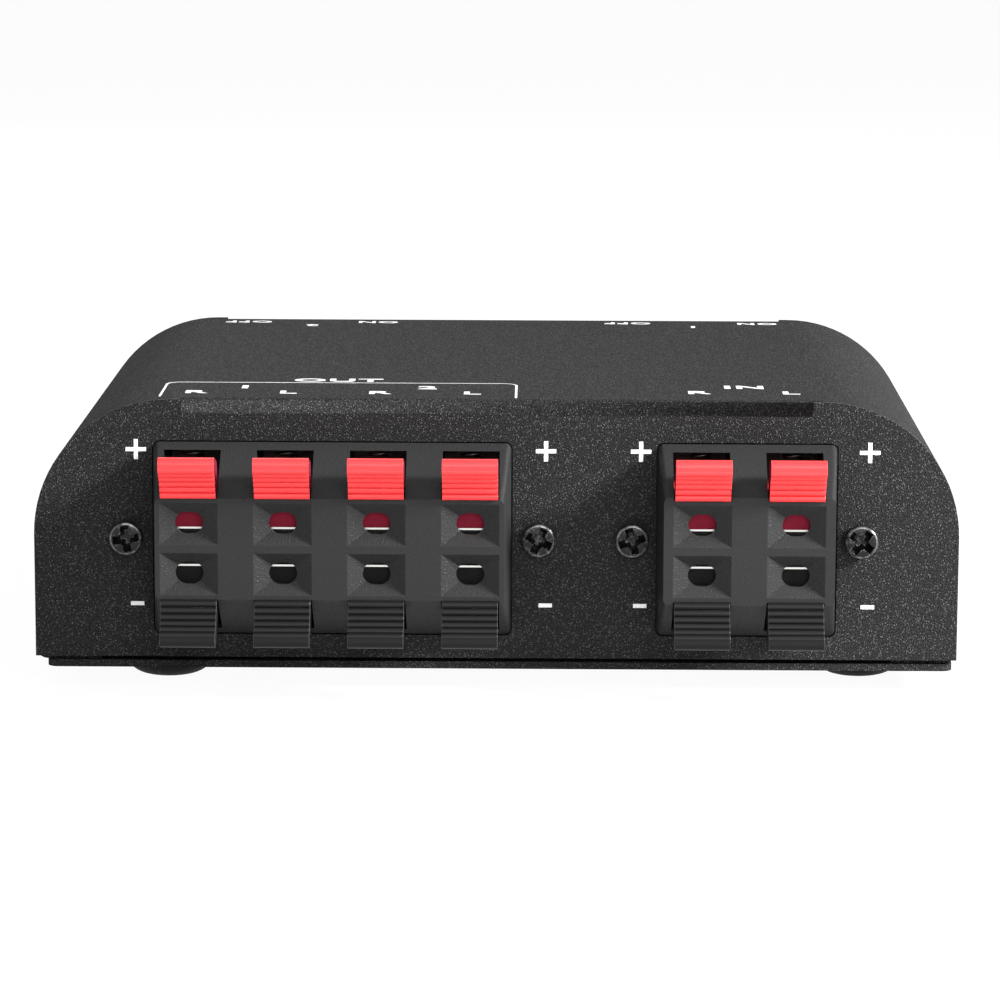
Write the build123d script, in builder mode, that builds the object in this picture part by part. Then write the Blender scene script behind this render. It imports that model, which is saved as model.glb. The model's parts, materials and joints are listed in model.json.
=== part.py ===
from build123d import *
import os
from math import atan2, cos, degrees, hypot, radians, sin, sqrt, tan

# Speaker selector switch: a folded steel case with two push-lever terminal blocks on one side and two
# rocker switches on the other. Millimetres. +X runs to the right as seen from the terminal side, +Y runs
# from the terminal side to the switch side and +Z is up. The origin lies on the surface that the case
# stands on, under the middle of the whole object.
# Inside a terminal block, "out" is the distance in front of the panel's face, "rise" the height above the
# edge where the block's flat face turns into its slope, and "up" the distance from the block's middle.

# ---- case ----
case_width = 127.0
case_depth = 86.5
case_height = 36.5            # from the bottom plate's upper face to the flat top
shoulder_radius = 18.8        # outside radius of the quarter-round shoulders
sheet = 1.0                   # thickness of the cover's steel
bend_radius = 2.0             # outside radius where a panel bends down from the top
bend_stop = 1.6               # from the shoulder's tangent line to the end of that bend
relief_width = 0.15           # slot cut by laser in the sheet beside each end of the bend
seam_gap = 0.2                # between a panel's back face and the edge of the shoulder skin
flange_width = 9.0            # inward flanges along the lower edges of the sides
flange_radius = 1.5           # outside radius of the flanges' bends
panel_lift = 0.6              # shadow gap between a panel's lower edge and the bottom plate
plate_thickness = 1.0
plate_side_inset = 1.0        # bottom plate's edges inside the case's sides
plate_end_inset = 0.4         # bottom plate's edges inside the panels' faces
plate_corner_radius = 1.5
plate_shift = 0.5             # the plate is screwed on a little to the right
plate_screw_inset = 5.5       # plate screws from the case's sides
plate_screw_spacing = 38.0
plate_screw_radius = 1.5
plate_screw_length = 5.0
plate_head_radius = 2.75
plate_head_height = 1.6
screw_clearance = 0.1         # round a screw in the plate that it holds

# ---- rubber feet ----
foot_radius = 6.35
foot_height = 3.0
foot_edge = 0.6               # upright rim at the foot's root
foot_contact_radius = 2.8     # flat that the dome stands on
foot_bulge = 0.75             # dome in front of the straight line from its rim to that flat
foot_spacing = 96.8
foot_shift = 2.4              # the feet are stuck on a little to the right
foot_end_inset = 12.0         # from the panels' faces to the feet's middles
foot_drift = 2.2              # the foot on the right of the terminal side is stuck on further in

# ---- terminal blocks ----
terminal_height = 17.3        # middle of both blocks above the bottom plate
column_pitch = 12.7
row_spacing = 6.9             # between the wire holes of a column
output_columns = 4
output_width = 49.0
output_margin = 16.55         # from the case's side to the block
output_screw_margin = 3.8     # from the block to the middle of each of its screws
input_columns = 2
input_width = 24.5
input_margin = 16.9
input_screw_margin = 3.45
block_height = 26.6
face_height = 13.9            # flat face between the two slopes, where the levers' windows start
input_face_height = 14.8      # the narrow block's slopes start a little further out
block_reach = 8.7             # flat face in front of the panel
block_depth = 12.0            # housing's back behind the panel's face
output_draft = 0.85           # each side wall leans in by this much at the flat face
input_draft = 0.65
block_corner_radius = 0.8
block_wall = 1.1              # upper and lower walls
face_wall = 1.7
block_clearance = 0.2         # between a housing and its opening in the panel
rim_width = 1.5               # rim behind the panel, round the opening
rim_thickness = 2.5
ear_height = 9.0
ear_margin = 3.2              # from a screw's middle to the ear's end
ear_corner_radius = 3.0
funnel_width = 7.9
funnel_height = 5.8
funnel_depth = 1.3
funnel_floor = 0.35           # the funnel's inner end, as a share of its mouth
wire_hole_width = 3.8
wire_hole_height = 3.0
wire_hole_depth = 2.9         # from the flat face to the dark pocket's end
window_height = 5.45

# ---- levers ----
lever_width = 7.5
lever_clearance = 0.15        # on each side of a lever in its bay
lever_reach = 12.4            # nose in front of the panel
tab_height = 6.05             # nose's top above the flat face's edge
nose_radius = 1.0
tab_slope = 16.0              # degrees, top of the tab falling towards the block
tab_depth = 5.7               # from the nose's front to the tab's back edge
neck_lean = 1.2               # the tab's back leans in by this much down to the arm
tab_overhang = 0.3            # ribbed face's foot in front of the flat face
tab_gap = 0.05                # under the tab, above the flat face's edge
hollow_out = 4.0              # centre of the ribbed hollow in front of the nose
hollow_rise = -1.9            # and above the flat face's edge
hollow_end_angle = 122.0      # degrees, where the ribbed hollow ends below the nose
rib_count = 6
rib_height = 0.4
shutter_gap = 0.3             # between the face wall and the shutter behind it
shutter_thickness = 1.1
shutter_rest_gap = 0.05       # shutter's edge above the contact
arm_rise = 0.9                # spring seat above the flat face's edge
arm_thickness = 1.8
pivot_setback = 6.0           # pivot behind the panel's face
pivot_drop = 2.2              # pivot below the flat face's edge
pivot_boss_radius = 1.3
pivot_radius = 1.0
pivot_length = 1.2            # each pin's length beside the lever
pivot_clearance = 0.05
spring_setback = 1.8          # spring behind the panel's face
spring_radius = 1.35          # to the middle of its wire
spring_wire_radius = 0.2
spring_turns = 4
spring_gap = 0.1              # at each end of the spring
spring_peg_radius = 0.6
spring_peg_height = 0.6

# ---- contacts and back boards ----
contact_width = 5.0
contact_thickness = 0.25
contact_drop = 0.75           # contact's bare face below the middle of the wire hole
contact_back = 0.1            # contact's front edge behind the shutter's front
tab_width = 3.0
tab_length = 4.0
tab_hole_radius = 0.6
board_thickness = 1.6
board_inset = 0.3
board_clearance = 0.1
stake_radius = 1.0
stake_head_radius = 1.6
stake_head_height = 0.8
stake_inset = 4.0             # stakes inside the housing's upper and lower faces

# ---- terminal screws ----
screw_radius = 1.1
screw_length = 6.0
screw_head_radius = 2.03
screw_head_height = 1.5
screw_hole_radius = 1.4       # in the panel
thread_clearance = 0.03
recess_width = 0.55           # cross recess of all screws
recess_depth = 0.9
recess_reach = 0.62           # cross's arms, as a share of the head's radius
recess_taper = 8.0            # degrees

# ---- rocker switches ----
switch_spacing = 59.0
switch_height = 18.0          # middle of the switches above the bottom plate
bezel_length = 21.0
bezel_width = 15.0
bezel_thickness = 1.8
bezel_corner_radius = 1.0
bezel_edge_radius = 0.5
switch_length = 19.0
switch_width = 12.9
switch_depth = 14.0
switch_floor = 3.0            # thickness of the switch's floor, which holds the lugs
switch_clearance = 0.1        # between a switch and its opening in the panel
latch_gap = 0.1               # between a latch and the panel's back
latch_height = 0.7
latch_width = 5.0
latch_length = 2.4
rocker_radius = 8.7           # rounded ends of the rocker, from its pivot
rocker_width = 10.9
rocker_clearance = 0.15
rocker_tilt = 10.0            # degrees to each side of level
rocker_valley = 0.6           # middle of the rocker above the bezel
rocker_rise = 2.6             # middle of the rocker above its pivot
rocker_valley_radius = 4.0
rocker_tip_radius = 0.5
rocker_skirt = 1.5            # rocker's lower edge below its pivot
rocker_pin_radius = 1.0
rocker_pin_length = 0.6
pole_spacing = 6.0
stem_width = 4.4
stem_length = 2.5             # plunger guides below the rocker's skirt
plunger_radius = 1.0
plunger_reach = 6.3           # centre of the plunger's round tip from the rocker's pivot
plunger_length = 3.4
plunger_spring_radius = 0.7
plunger_spring_wire_radius = 0.15
plunger_spring_turns = 3
plunger_spring_gap = 0.05
plunger_bore_end = 0.9        # closed end of the plunger's bore below the pivot
blade_setback = 8.0           # blades' tilting axis behind the panel's face
blade_length = 13.0
blade_width = 3.0
blade_thickness = 0.5
blade_tilt = 8.0              # degrees to each side of level
blade_gap = 0.12              # between a blade and the lug under it
lug_spacing = 5.5             # from the common lug to the on lug
lug_width = 3.2
lug_thickness = 0.8
lug_length = 7.0              # lug's end beyond the switch's back
lug_clearance = 0.05

# ---- wires ----
wire_radius = 0.7
wire_side = 0.8               # two wires share a tab, each this far from its middle
wire_lead = 4.0               # straight run at a wire's end
wire_ramp = 12.0              # end of the ramp to the wire's own level
wire_level_step = 2.0
highest_wire = 3.0            # below the inside of the top
return_drop = 4.5             # returns run this far below their tabs
return_ramp = 8.0             # first return's cross run behind its tabs
return_step = 2.4
bend_share = 0.45             # of the shorter run beside a wire's bend

# ---- places that follow from the sizes ----
plate_top = foot_height + plate_thickness
cover_top = plate_top + case_height
panel_bottom = plate_top + panel_lift
terminal_z = plate_top + terminal_height
switch_z = plate_top + switch_height
bend_half = case_width / 2 - shoulder_radius - bend_stop
output_x = -case_width / 2 + output_margin + output_width / 2
input_x = case_width / 2 - input_margin - input_width / 2
output_screw_spacing = output_width + 2 * output_screw_margin
input_screw_spacing = input_width + 2 * input_screw_margin

# Each wing of a rocker rises from the valley towards its round end. The tip between them is rounded by a
# circle that touches both from inside, and at the OFF tilt that circle is what stands out furthest.
rocker_pivot_out = bezel_thickness + rocker_valley - rocker_rise
wing_slope = tan(radians(rocker_tilt))


def wing_meets_circle(rise, radius):
    """How far from the middle a wing that starts at this rise above the pivot meets a circle round it."""
    square = 1 + wing_slope**2
    return (sqrt(square * radius**2 - rise**2) - wing_slope * rise) / square


tip_rise = rocker_rise - rocker_tip_radius / cos(radians(rocker_tilt))
tip_x = wing_meets_circle(tip_rise, rocker_radius - rocker_tip_radius)
tip_y = tip_rise + wing_slope * tip_x
rocker_reach = (rocker_pivot_out + tip_x * sin(radians(rocker_tilt)) + tip_y * cos(radians(rocker_tilt))
                + rocker_tip_radius)

# The levers and the rockers stand out by different amounts, so the case sits off the origin by half of that.
total_depth = lever_reach + case_depth + rocker_reach
front_y = -total_depth / 2 + lever_reach
back_y = front_y + case_depth
middle_y = (front_y + back_y) / 2

face_half = face_height / 2
block_half = block_height / 2
roof = block_half - block_wall
bay_width = lever_width + 2 * lever_clearance
contact_top = row_spacing / 2 - contact_drop
web_half = contact_top - contact_thickness
shutter_front = block_reach - face_wall - shutter_gap
pivot_up = face_half - pivot_drop
arm_top = face_half + arm_rise
board_back = block_depth + board_thickness
tab_end_y = front_y + board_back + tab_length
lug_end_y = back_y - switch_depth - lug_length

os.makedirs("parts", exist_ok=True)


def save(part, name):
    """Label a finished piece and write it."""
    part.label = name
    export_step(part, f"parts/{name}.step")


def panel_plane(y):
    """Upright plane across the case: local x along +X, local y up, its normal to the terminal side."""
    return Plane(origin=(0, y, 0), x_dir=(1, 0, 0), z_dir=(0, -1, 0))


def terminal_plane(x, row):
    """Upright plane through a terminal column: local x points out of the panel, local y away from the
    block's middle, up for the upper row (row 1) and down for the lower row (row -1)."""
    return Plane(origin=(x, front_y, terminal_z), x_dir=(0, -1, 0), z_dir=(-row, 0, 0))


def switch_plane(x, out=0, tilt=0):
    """Flat plane through a switch, out from the panel: local x along +X before its tilt in degrees, local y
    out of the switch side."""
    turn = radians(tilt)
    return Plane(origin=(x, back_y + out, switch_z), x_dir=(cos(turn), sin(turn), 0), z_dir=(0, 0, 1))


def column_places(middle, columns):
    """X of each column of a terminal block, from left to right."""
    return [middle + (i - (columns - 1) / 2) * column_pitch for i in range(columns)]


def arch(width, top, bottom, radius, mode=Mode.ADD):
    """Draw an upright outline with two rounded upper corners into the open sketch."""
    side = width / 2
    with BuildLine() as outline:
        Polyline((-side, top - radius), (-side, bottom), (side, bottom), (side, top - radius))
        right = JernArc((side, top - radius), (0, 1), radius, 90)
        left = JernArc((-side, top - radius), (0, 1), radius, -90)
        Line(right @ 1, left @ 1)
    make_face(outline.edges(), mode=mode)


# ---- top cover: the folded sheet ----
blocks = [
    (output_x, output_columns, output_width, output_screw_spacing),
    (input_x, input_columns, input_width, input_screw_spacing),
]
switch_places = {"switch_1": switch_spacing / 2, "switch_2": -switch_spacing / 2}
plate_screw_x = case_width / 2 - plate_screw_inset
skin_inset = sheet + seam_gap

with BuildPart() as top_cover:
    # Sides, shoulders and top, with an inward flange along each side's lower edge.
    with BuildSketch(panel_plane(front_y + skin_inset)) as skin:
        arch(case_width, cover_top, plate_top, shoulder_radius)
        arch(case_width - 2 * sheet, cover_top - sheet, plate_top + sheet, shoulder_radius - sheet,
             mode=Mode.SUBTRACT)
        with Locations((0, plate_top + sheet / 2)):
            Rectangle(case_width - 2 * flange_width, 2 * sheet, mode=Mode.SUBTRACT)
        outer_corners = skin.vertices().group_by(Axis.Y)[0].sort_by(Axis.X)
        inner_corners = skin.vertices().group_by(Axis.Y)[1].sort_by(Axis.X)
        fillet([outer_corners[0], outer_corners[-1]], flange_radius)
        fillet([inner_corners[0], inner_corners[-1]], flange_radius - sheet)
    extrude(amount=-(case_depth - 2 * skin_inset))
    # Both panels bend down from the straight stretch of the top.
    with BuildSketch(Plane(origin=(0, middle_y, 0), x_dir=(0, 1, 0), z_dir=(1, 0, 0))):
        arch(case_depth, cover_top, panel_bottom, bend_radius)
        arch(case_depth - 2 * sheet, cover_top - sheet, panel_bottom - sheet, bend_radius - sheet,
             mode=Mode.SUBTRACT)
    extrude(amount=bend_half, both=True)
    # Each panel spreads to the case's full outline, flush with the shoulders, past its relief slots.
    for panel_face in (front_y, back_y - sheet):
        with BuildSketch(panel_plane(panel_face)):
            arch(case_width, cover_top, panel_bottom, shoulder_radius)
            with Locations((0, cover_top)):
                Rectangle(2 * (bend_half + relief_width), 2 * bend_radius, mode=Mode.SUBTRACT)
        extrude(amount=-sheet)
    # Openings and screw holes for the terminal blocks.
    with BuildSketch(panel_plane(front_y)):
        for block_x, _, block_width, screw_spacing in blocks:
            with Locations((block_x, terminal_z)):
                RectangleRounded(block_width + 2 * block_clearance, block_height + 2 * block_clearance,
                                 block_corner_radius + block_clearance)
                with GridLocations(screw_spacing, 0, 2, 1):
                    Circle(screw_hole_radius)
    extrude(amount=-2 * sheet, mode=Mode.SUBTRACT)
    # Openings for the rocker switches.
    with BuildSketch(panel_plane(back_y)):
        with Locations(*[(x, switch_z) for x in switch_places.values()]):
            Rectangle(switch_length + 2 * switch_clearance, switch_width + 2 * switch_clearance)
    extrude(amount=2 * sheet, mode=Mode.SUBTRACT)
    # Holes that the plate screws cut their thread in.
    with BuildSketch(Plane.XY.offset(plate_top)):
        with Locations((0, middle_y)):
            with GridLocations(2 * plate_screw_x, plate_screw_spacing, 2, 2):
                Circle(plate_screw_radius + thread_clearance)
    extrude(amount=2 * sheet, mode=Mode.SUBTRACT)
save(top_cover.part, "top_cover")

# ---- bottom plate ----
with BuildPart() as bottom_plate:
    with BuildSketch(Plane.XY.offset(foot_height)):
        with Locations((plate_shift, middle_y)):
            RectangleRounded(case_width - 2 * plate_side_inset, case_depth - 2 * plate_end_inset,
                             plate_corner_radius)
    extrude(amount=plate_thickness)
    with BuildSketch(Plane.XY.offset(foot_height)):
        with Locations((0, middle_y)):
            with GridLocations(2 * plate_screw_x, plate_screw_spacing, 2, 2):
                Circle(plate_screw_radius + screw_clearance)
    extrude(amount=plate_thickness, mode=Mode.SUBTRACT)
save(bottom_plate.part, "bottom_plate")


# ---- bottom plate screws: cross-head screws under the plate ----
plate_screw_places = [(sx * plate_screw_x, middle_y + sy * plate_screw_spacing / 2)
                      for sx in (-1, 1) for sy in (-1, 1)]
with BuildPart() as bottom_screws:
    with BuildSketch(Plane.XY.offset(foot_height)):
        with Locations(*plate_screw_places):
            Circle(plate_screw_radius)
    extrude(amount=plate_screw_length)
    with BuildSketch(Plane.XY.offset(foot_height)):
        with Locations(*plate_screw_places):
            Circle(plate_head_radius)
    extrude(amount=-plate_head_height)
    head_edges = bottom_screws.edges().filter_by(GeomType.CIRCLE).group_by(Axis.Z)[0]
    fillet(head_edges, plate_head_height / 2)
    with BuildSketch(Plane.XY.offset(foot_height - plate_head_height)):
        with Locations(*plate_screw_places):
            Rectangle(2 * recess_reach * plate_head_radius, recess_width)
            Rectangle(recess_width, 2 * recess_reach * plate_head_radius)
    extrude(amount=recess_depth, taper=recess_taper, mode=Mode.SUBTRACT)
save(bottom_screws.part, "bottom_screws")

# ---- rubber feet: domes stuck under the plate, each with a small flat to stand on ----
foot_places = [(foot_shift + sx * foot_spacing / 2, middle_y + sy * (case_depth / 2 - foot_end_inset)
                + (foot_drift if sx > 0 > sy else 0)) for sx in (-1, 1) for sy in (-1, 1)]
with BuildPart() as feet:
    for foot_x, foot_y in foot_places:
        with BuildSketch(Plane(origin=(foot_x, foot_y, 0), x_dir=(1, 0, 0), z_dir=(0, -1, 0))):
            with BuildLine():
                Polyline((foot_contact_radius, 0), (0, 0), (0, foot_height), (foot_radius, foot_height),
                         (foot_radius, foot_height - foot_edge))
                SagittaArc((foot_radius, foot_height - foot_edge), (foot_contact_radius, 0), foot_bulge)
            make_face()
        revolve(axis=Axis((foot_x, foot_y, 0), (0, 0, 1)))
save(feet.part, "feet")


def terminal_housing(middle, columns, width, screw_spacing, flat_height, draft):
    """One moulding: wedge-shaped face, bays for the levers, a web between the rows, rim and screw ears."""
    places = column_places(middle, columns)
    with BuildPart() as housing:
        # Wedge-fronted block, its side walls leaning in towards the flat face.
        with BuildSketch(terminal_plane(middle, 1)):
            with BuildLine():
                Polyline((0, block_half), (block_reach, flat_height / 2), (block_reach, -flat_height / 2),
                         (0, -block_half), (-block_depth, -block_half), (-block_depth, block_half),
                         close=True)
            make_face()
        extrude(amount=width / 2, both=True)
        with BuildSketch(Plane(origin=(middle, front_y, terminal_z), x_dir=(1, 0, 0), z_dir=(0, 0, -1))):
            with BuildLine():
                Polyline((-width / 2, 0), (-width / 2 + draft, block_reach),
                         (width / 2 - draft, block_reach), (width / 2, 0),
                         (width / 2, -block_depth), (-width / 2, -block_depth), close=True)
            make_face()
        extrude(amount=block_half, both=True, mode=Mode.INTERSECT)
        corners = housing.edges().filter_by(lambda edge: abs((edge % 0.5).Y) > sin(radians(30)))
        fillet(corners, block_corner_radius)
        # Rim and ears behind the panel.
        with BuildSketch(panel_plane(front_y + sheet)):
            with Locations((middle, terminal_z)):
                RectangleRounded(width + 2 * rim_width, block_height + 2 * rim_width, block_corner_radius)
                RectangleRounded(screw_spacing + 2 * ear_margin, ear_height, ear_corner_radius)
        extrude(amount=-rim_thickness)
        with BuildSketch(panel_plane(front_y)):
            with Locations((middle, terminal_z)):
                with GridLocations(screw_spacing, 0, 2, 1):
                    Circle(screw_radius + thread_clearance)
        extrude(amount=-(sheet + rim_thickness), mode=Mode.SUBTRACT)
        # Bays with a window for the tab, and bearing holes for the lever's pins.
        for x in places:
            for row in (1, -1):
                with BuildSketch(terminal_plane(x, row)):
                    with BuildLine():
                        Polyline((block_reach - face_wall, web_half), (block_reach - face_wall, face_half),
                                 (2 * block_reach, face_half), (2 * block_reach, face_half + window_height),
                                 (0, face_half + window_height), (0, roof),
                                 (-2 * block_depth, roof), (-2 * block_depth, web_half), close=True)
                    make_face()
                extrude(amount=bay_width / 2, both=True, mode=Mode.SUBTRACT)
                with BuildSketch(terminal_plane(x, row)):
                    with Locations((-pivot_setback, pivot_up)):
                        Circle(pivot_radius + pivot_clearance)
                extrude(amount=lever_width / 2 + pivot_length + pivot_clearance, both=True,
                        mode=Mode.SUBTRACT)
        # Funnels that lead to the wire holes.
        for x in places:
            for row in (1, -1):
                hole_z = terminal_z + row * row_spacing / 2
                with BuildSketch(panel_plane(front_y - block_reach)):
                    with Locations((x, hole_z)):
                        Rectangle(funnel_width, funnel_height)
                with BuildSketch(panel_plane(front_y - block_reach + funnel_depth)):
                    with Locations((x, hole_z)):
                        Rectangle(funnel_floor * funnel_width, funnel_floor * funnel_height)
                loft(mode=Mode.SUBTRACT)
                with BuildSketch(panel_plane(front_y - block_reach)):
                    with Locations((x, hole_z)):
                        SlotOverall(wire_hole_width, wire_hole_height)
                extrude(amount=-wire_hole_depth, mode=Mode.SUBTRACT)
        # Stakes that hold the back board, on the walls between the columns.
        stake_places = [((left + right) / 2, terminal_z + row * (block_half - stake_inset))
                        for left, right in zip(places, places[1:]) for row in (1, -1)]
        with BuildSketch(panel_plane(front_y + block_depth)):
            with Locations(*stake_places):
                Circle(stake_radius)
        extrude(amount=-(board_thickness + stake_head_height))
        with BuildSketch(panel_plane(front_y + board_back)):
            with Locations(*stake_places):
                Circle(stake_head_radius)
        extrude(amount=-stake_head_height)
    return housing.part


def back_board(middle, columns, width):
    """Insulating board that closes a block from behind, slotted for the tabs and drilled for the stakes."""
    places = column_places(middle, columns)
    with BuildPart() as board:
        with BuildSketch(panel_plane(front_y + block_depth)):
            with Locations((middle, terminal_z)):
                Rectangle(width - 2 * board_inset, block_height - 2 * board_inset)
            with Locations(*[(x, terminal_z + row * (web_half + contact_thickness / 2))
                             for x in places for row in (1, -1)]):
                Rectangle(tab_width + 2 * board_clearance, contact_thickness + 2 * board_clearance,
                          mode=Mode.SUBTRACT)
            with Locations(*[((left + right) / 2, terminal_z + row * (block_half - stake_inset))
                             for left, right in zip(places, places[1:]) for row in (1, -1)]):
                Circle(stake_radius + board_clearance, mode=Mode.SUBTRACT)
        extrude(amount=-board_thickness)
    return board.part


def contact_strips(middle, columns):
    """Flat strips on the web of a block, two for each column, each with a drilled solder tab behind."""
    front = shutter_front - contact_back
    with BuildPart() as strips:
        for x in column_places(middle, columns):
            for row in (1, -1):
                with BuildSketch(Plane(origin=(x, front_y, terminal_z + row * web_half),
                                       x_dir=(1, 0, 0), z_dir=(0, 0, row))):
                    with Locations((0, row * (block_depth - front) / 2)):
                        Rectangle(contact_width, block_depth + front)
                    with Locations((0, row * (block_depth + board_back + tab_length) / 2)):
                        Rectangle(tab_width, board_back + tab_length - block_depth)
                    with Locations((0, row * (board_back + tab_length - tab_width / 2))):
                        Circle(tab_hole_radius, mode=Mode.SUBTRACT)
                extrude(amount=contact_thickness)
    return strips.part


save(terminal_housing(output_x, output_columns, output_width, output_screw_spacing, face_height,
                      output_draft), "output_housing")
save(terminal_housing(input_x, input_columns, input_width, input_screw_spacing, input_face_height,
                      input_draft), "input_housing")
save(back_board(output_x, output_columns, output_width), "output_back_board")
save(back_board(input_x, input_columns, input_width), "input_back_board")
save(contact_strips(output_x, output_columns), "output_contacts")
save(contact_strips(input_x, input_columns), "input_contacts")

# ---- terminal screws: pan heads outside the panel, threads in the housings' ears ----
screw_places = [(block_x + side * screw_spacing / 2, terminal_z)
                for block_x, _, _, screw_spacing in blocks for side in (-1, 1)]
with BuildPart() as terminal_screws:
    with BuildSketch(panel_plane(front_y)):
        with Locations(*screw_places):
            Circle(screw_radius)
    extrude(amount=-screw_length)
    with BuildSketch(panel_plane(front_y)):
        with Locations(*screw_places):
            Circle(screw_head_radius)
    extrude(amount=screw_head_height)
    head_edges = terminal_screws.edges().filter_by(GeomType.CIRCLE).group_by(Axis.Y)[0]
    fillet(head_edges, screw_head_height / 2)
    with BuildSketch(panel_plane(front_y - screw_head_height)):
        with Locations(*screw_places):
            Rectangle(2 * recess_reach * screw_head_radius, recess_width)
            Rectangle(recess_width, 2 * recess_reach * screw_head_radius)
    extrude(amount=-recess_depth, taper=recess_taper, mode=Mode.SUBTRACT)
save(terminal_screws.part, "terminal_screws")


def push_lever(x, row):
    """A lever: ribbed tab with a round nose, shutter behind the wire hole, arm, boss and two pins."""
    rise = face_half
    nose = (lever_reach - nose_radius, rise + tab_height - nose_radius)
    slope = radians(tab_slope)
    tab_crest = (nose[0] - nose_radius * sin(slope), nose[1] + nose_radius * cos(slope))
    tab_back = lever_reach - tab_depth
    tab_edge = (tab_back, tab_crest[1] - (tab_crest[0] - tab_back) * tan(slope))
    hollow = (lever_reach + hollow_out, rise + hollow_rise)
    foot = (block_reach + tab_overhang, rise + tab_gap)
    hollow_radius = hypot(hollow[0] - foot[0], hollow[1] - foot[1])
    hollow_start_angle = 180 + degrees(atan2(hollow[1] - foot[1], hollow[0] - foot[0]))
    step = (hollow_end_angle - hollow_start_angle) / rib_count

    def hollow_point(angle, radius):
        return (hollow[0] + radius * cos(radians(angle)), hollow[1] + radius * sin(radians(angle)))

    seat_end = -spring_setback - spring_radius - 3 * spring_wire_radius
    shutter_edge = contact_top + shutter_rest_gap
    with BuildPart() as lever:
        with BuildSketch(terminal_plane(x, row)):
            with BuildLine():
                for i in range(rib_count):
                    angle = hollow_start_angle + i * step
                    ThreePointArc(hollow_point(angle, hollow_radius),
                                  hollow_point(angle + step / 2, hollow_radius - rib_height),
                                  hollow_point(angle + step, hollow_radius))
                Line(hollow_point(hollow_end_angle, hollow_radius), (lever_reach, nose[1]))
                CenterArc(nose, nose_radius, 0, 90 + tab_slope)
                Polyline(tab_crest, tab_edge, (tab_back - neck_lean, arm_top), (seat_end, arm_top),
                         (-pivot_setback, pivot_up + pivot_boss_radius),
                         (-pivot_setback, pivot_up - pivot_boss_radius),
                         (seat_end, arm_top - arm_thickness),
                         (shutter_front - shutter_thickness, arm_top - arm_thickness),
                         (shutter_front - shutter_thickness, shutter_edge), (shutter_front, shutter_edge),
                         (shutter_front, foot[1]), foot)
            make_face()
            with Locations((-pivot_setback, pivot_up)):
                Circle(pivot_boss_radius)
        extrude(amount=lever_width / 2, both=True)
        with BuildSketch(terminal_plane(x, row)):
            with Locations((-pivot_setback, pivot_up)):
                Circle(pivot_radius)
        extrude(amount=lever_width / 2 + pivot_length, both=True)
        with BuildSketch(Plane(origin=(x, front_y + spring_setback, terminal_z + row * arm_top),
                               x_dir=(1, 0, 0), z_dir=(0, 0, row))):
            Circle(spring_peg_radius)
        extrude(amount=spring_peg_height)
    return lever.part


def coil_spring(base, direction, length, radius, wire, turns):
    """A round wire coil that fills the length from its base point along its direction."""
    height = length - 2 * wire
    start = Vector(*base) + Vector(*direction) * wire
    with BuildPart() as spring:
        with BuildLine() as coil:
            Helix(height / turns, height, radius, center=start, direction=direction)
        with BuildSketch(Plane(origin=coil.line @ 0, z_dir=coil.line % 0)):
            Circle(wire)
        sweep(is_frenet=True)
    return spring.part


# ---- levers and their springs ----
channels = dict(zip(
    ["pair_1_right", "pair_1_left", "pair_2_right", "pair_2_left", "input_right", "input_left"],
    column_places(output_x, output_columns) + column_places(input_x, input_columns)))
for channel, channel_x in channels.items():
    for pole, row in (("plus", 1), ("minus", -1)):
        save(push_lever(channel_x, row), f"{channel}_{pole}_lever")
        spring_base = (channel_x, front_y + spring_setback, terminal_z + row * (arm_top + spring_gap))
        spring = coil_spring(spring_base, (0, 0, row), roof - arm_top - 2 * spring_gap, spring_radius,
                             spring_wire_radius, spring_turns)
        save(spring, f"{channel}_{pole}_spring")


# ---- rocker switches ----
cavity_half = rocker_radius + rocker_clearance
cavity_half_width = rocker_width / 2 + rocker_clearance


def switch_frame(x):
    """Bezel and body in one moulding, hollow for the rocker, with bearing holes, lug slots and latches."""
    with BuildPart() as frame:
        with BuildSketch(panel_plane(back_y)):
            with Locations((x, switch_z)):
                RectangleRounded(bezel_length, bezel_width, bezel_corner_radius)
        extrude(amount=-bezel_thickness)
        fillet(frame.faces().sort_by(Axis.Y)[-1].edges(), bezel_edge_radius)
        with BuildSketch(panel_plane(back_y)):
            with Locations((x, switch_z)):
                Rectangle(switch_length, switch_width)
        extrude(amount=switch_depth)
        # Latches that spring out behind the panel.
        with BuildSketch(switch_plane(x)):
            for side in (-1, 1):
                with BuildLine():
                    Polyline((side * switch_length / 2, -sheet - latch_gap),
                             (side * (switch_length / 2 + latch_height), -sheet - latch_gap),
                             (side * switch_length / 2, -sheet - latch_gap - latch_length), close=True)
                make_face()
        extrude(amount=latch_width / 2, both=True)
        with BuildSketch(panel_plane(back_y + bezel_thickness)):
            with Locations((x, switch_z)):
                Rectangle(2 * cavity_half, 2 * cavity_half_width)
        extrude(amount=bezel_thickness + switch_depth - switch_floor, mode=Mode.SUBTRACT)
        with BuildSketch(switch_plane(x)):
            with Locations((0, rocker_pivot_out)):
                Circle(rocker_pin_radius + pivot_clearance)
        extrude(amount=rocker_width / 2 + rocker_pin_length + pivot_clearance, both=True,
                mode=Mode.SUBTRACT)
        with BuildSketch(panel_plane(back_y - switch_depth)):
            with Locations(*[(lug_x, switch_z + side * pole_spacing / 2)
                             for lug_x in (x, x - lug_spacing) for side in (-1, 1)]):
                Rectangle(lug_thickness + 2 * lug_clearance, lug_width + 2 * lug_clearance)
        extrude(amount=-switch_floor, mode=Mode.SUBTRACT)
    return frame.part


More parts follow.
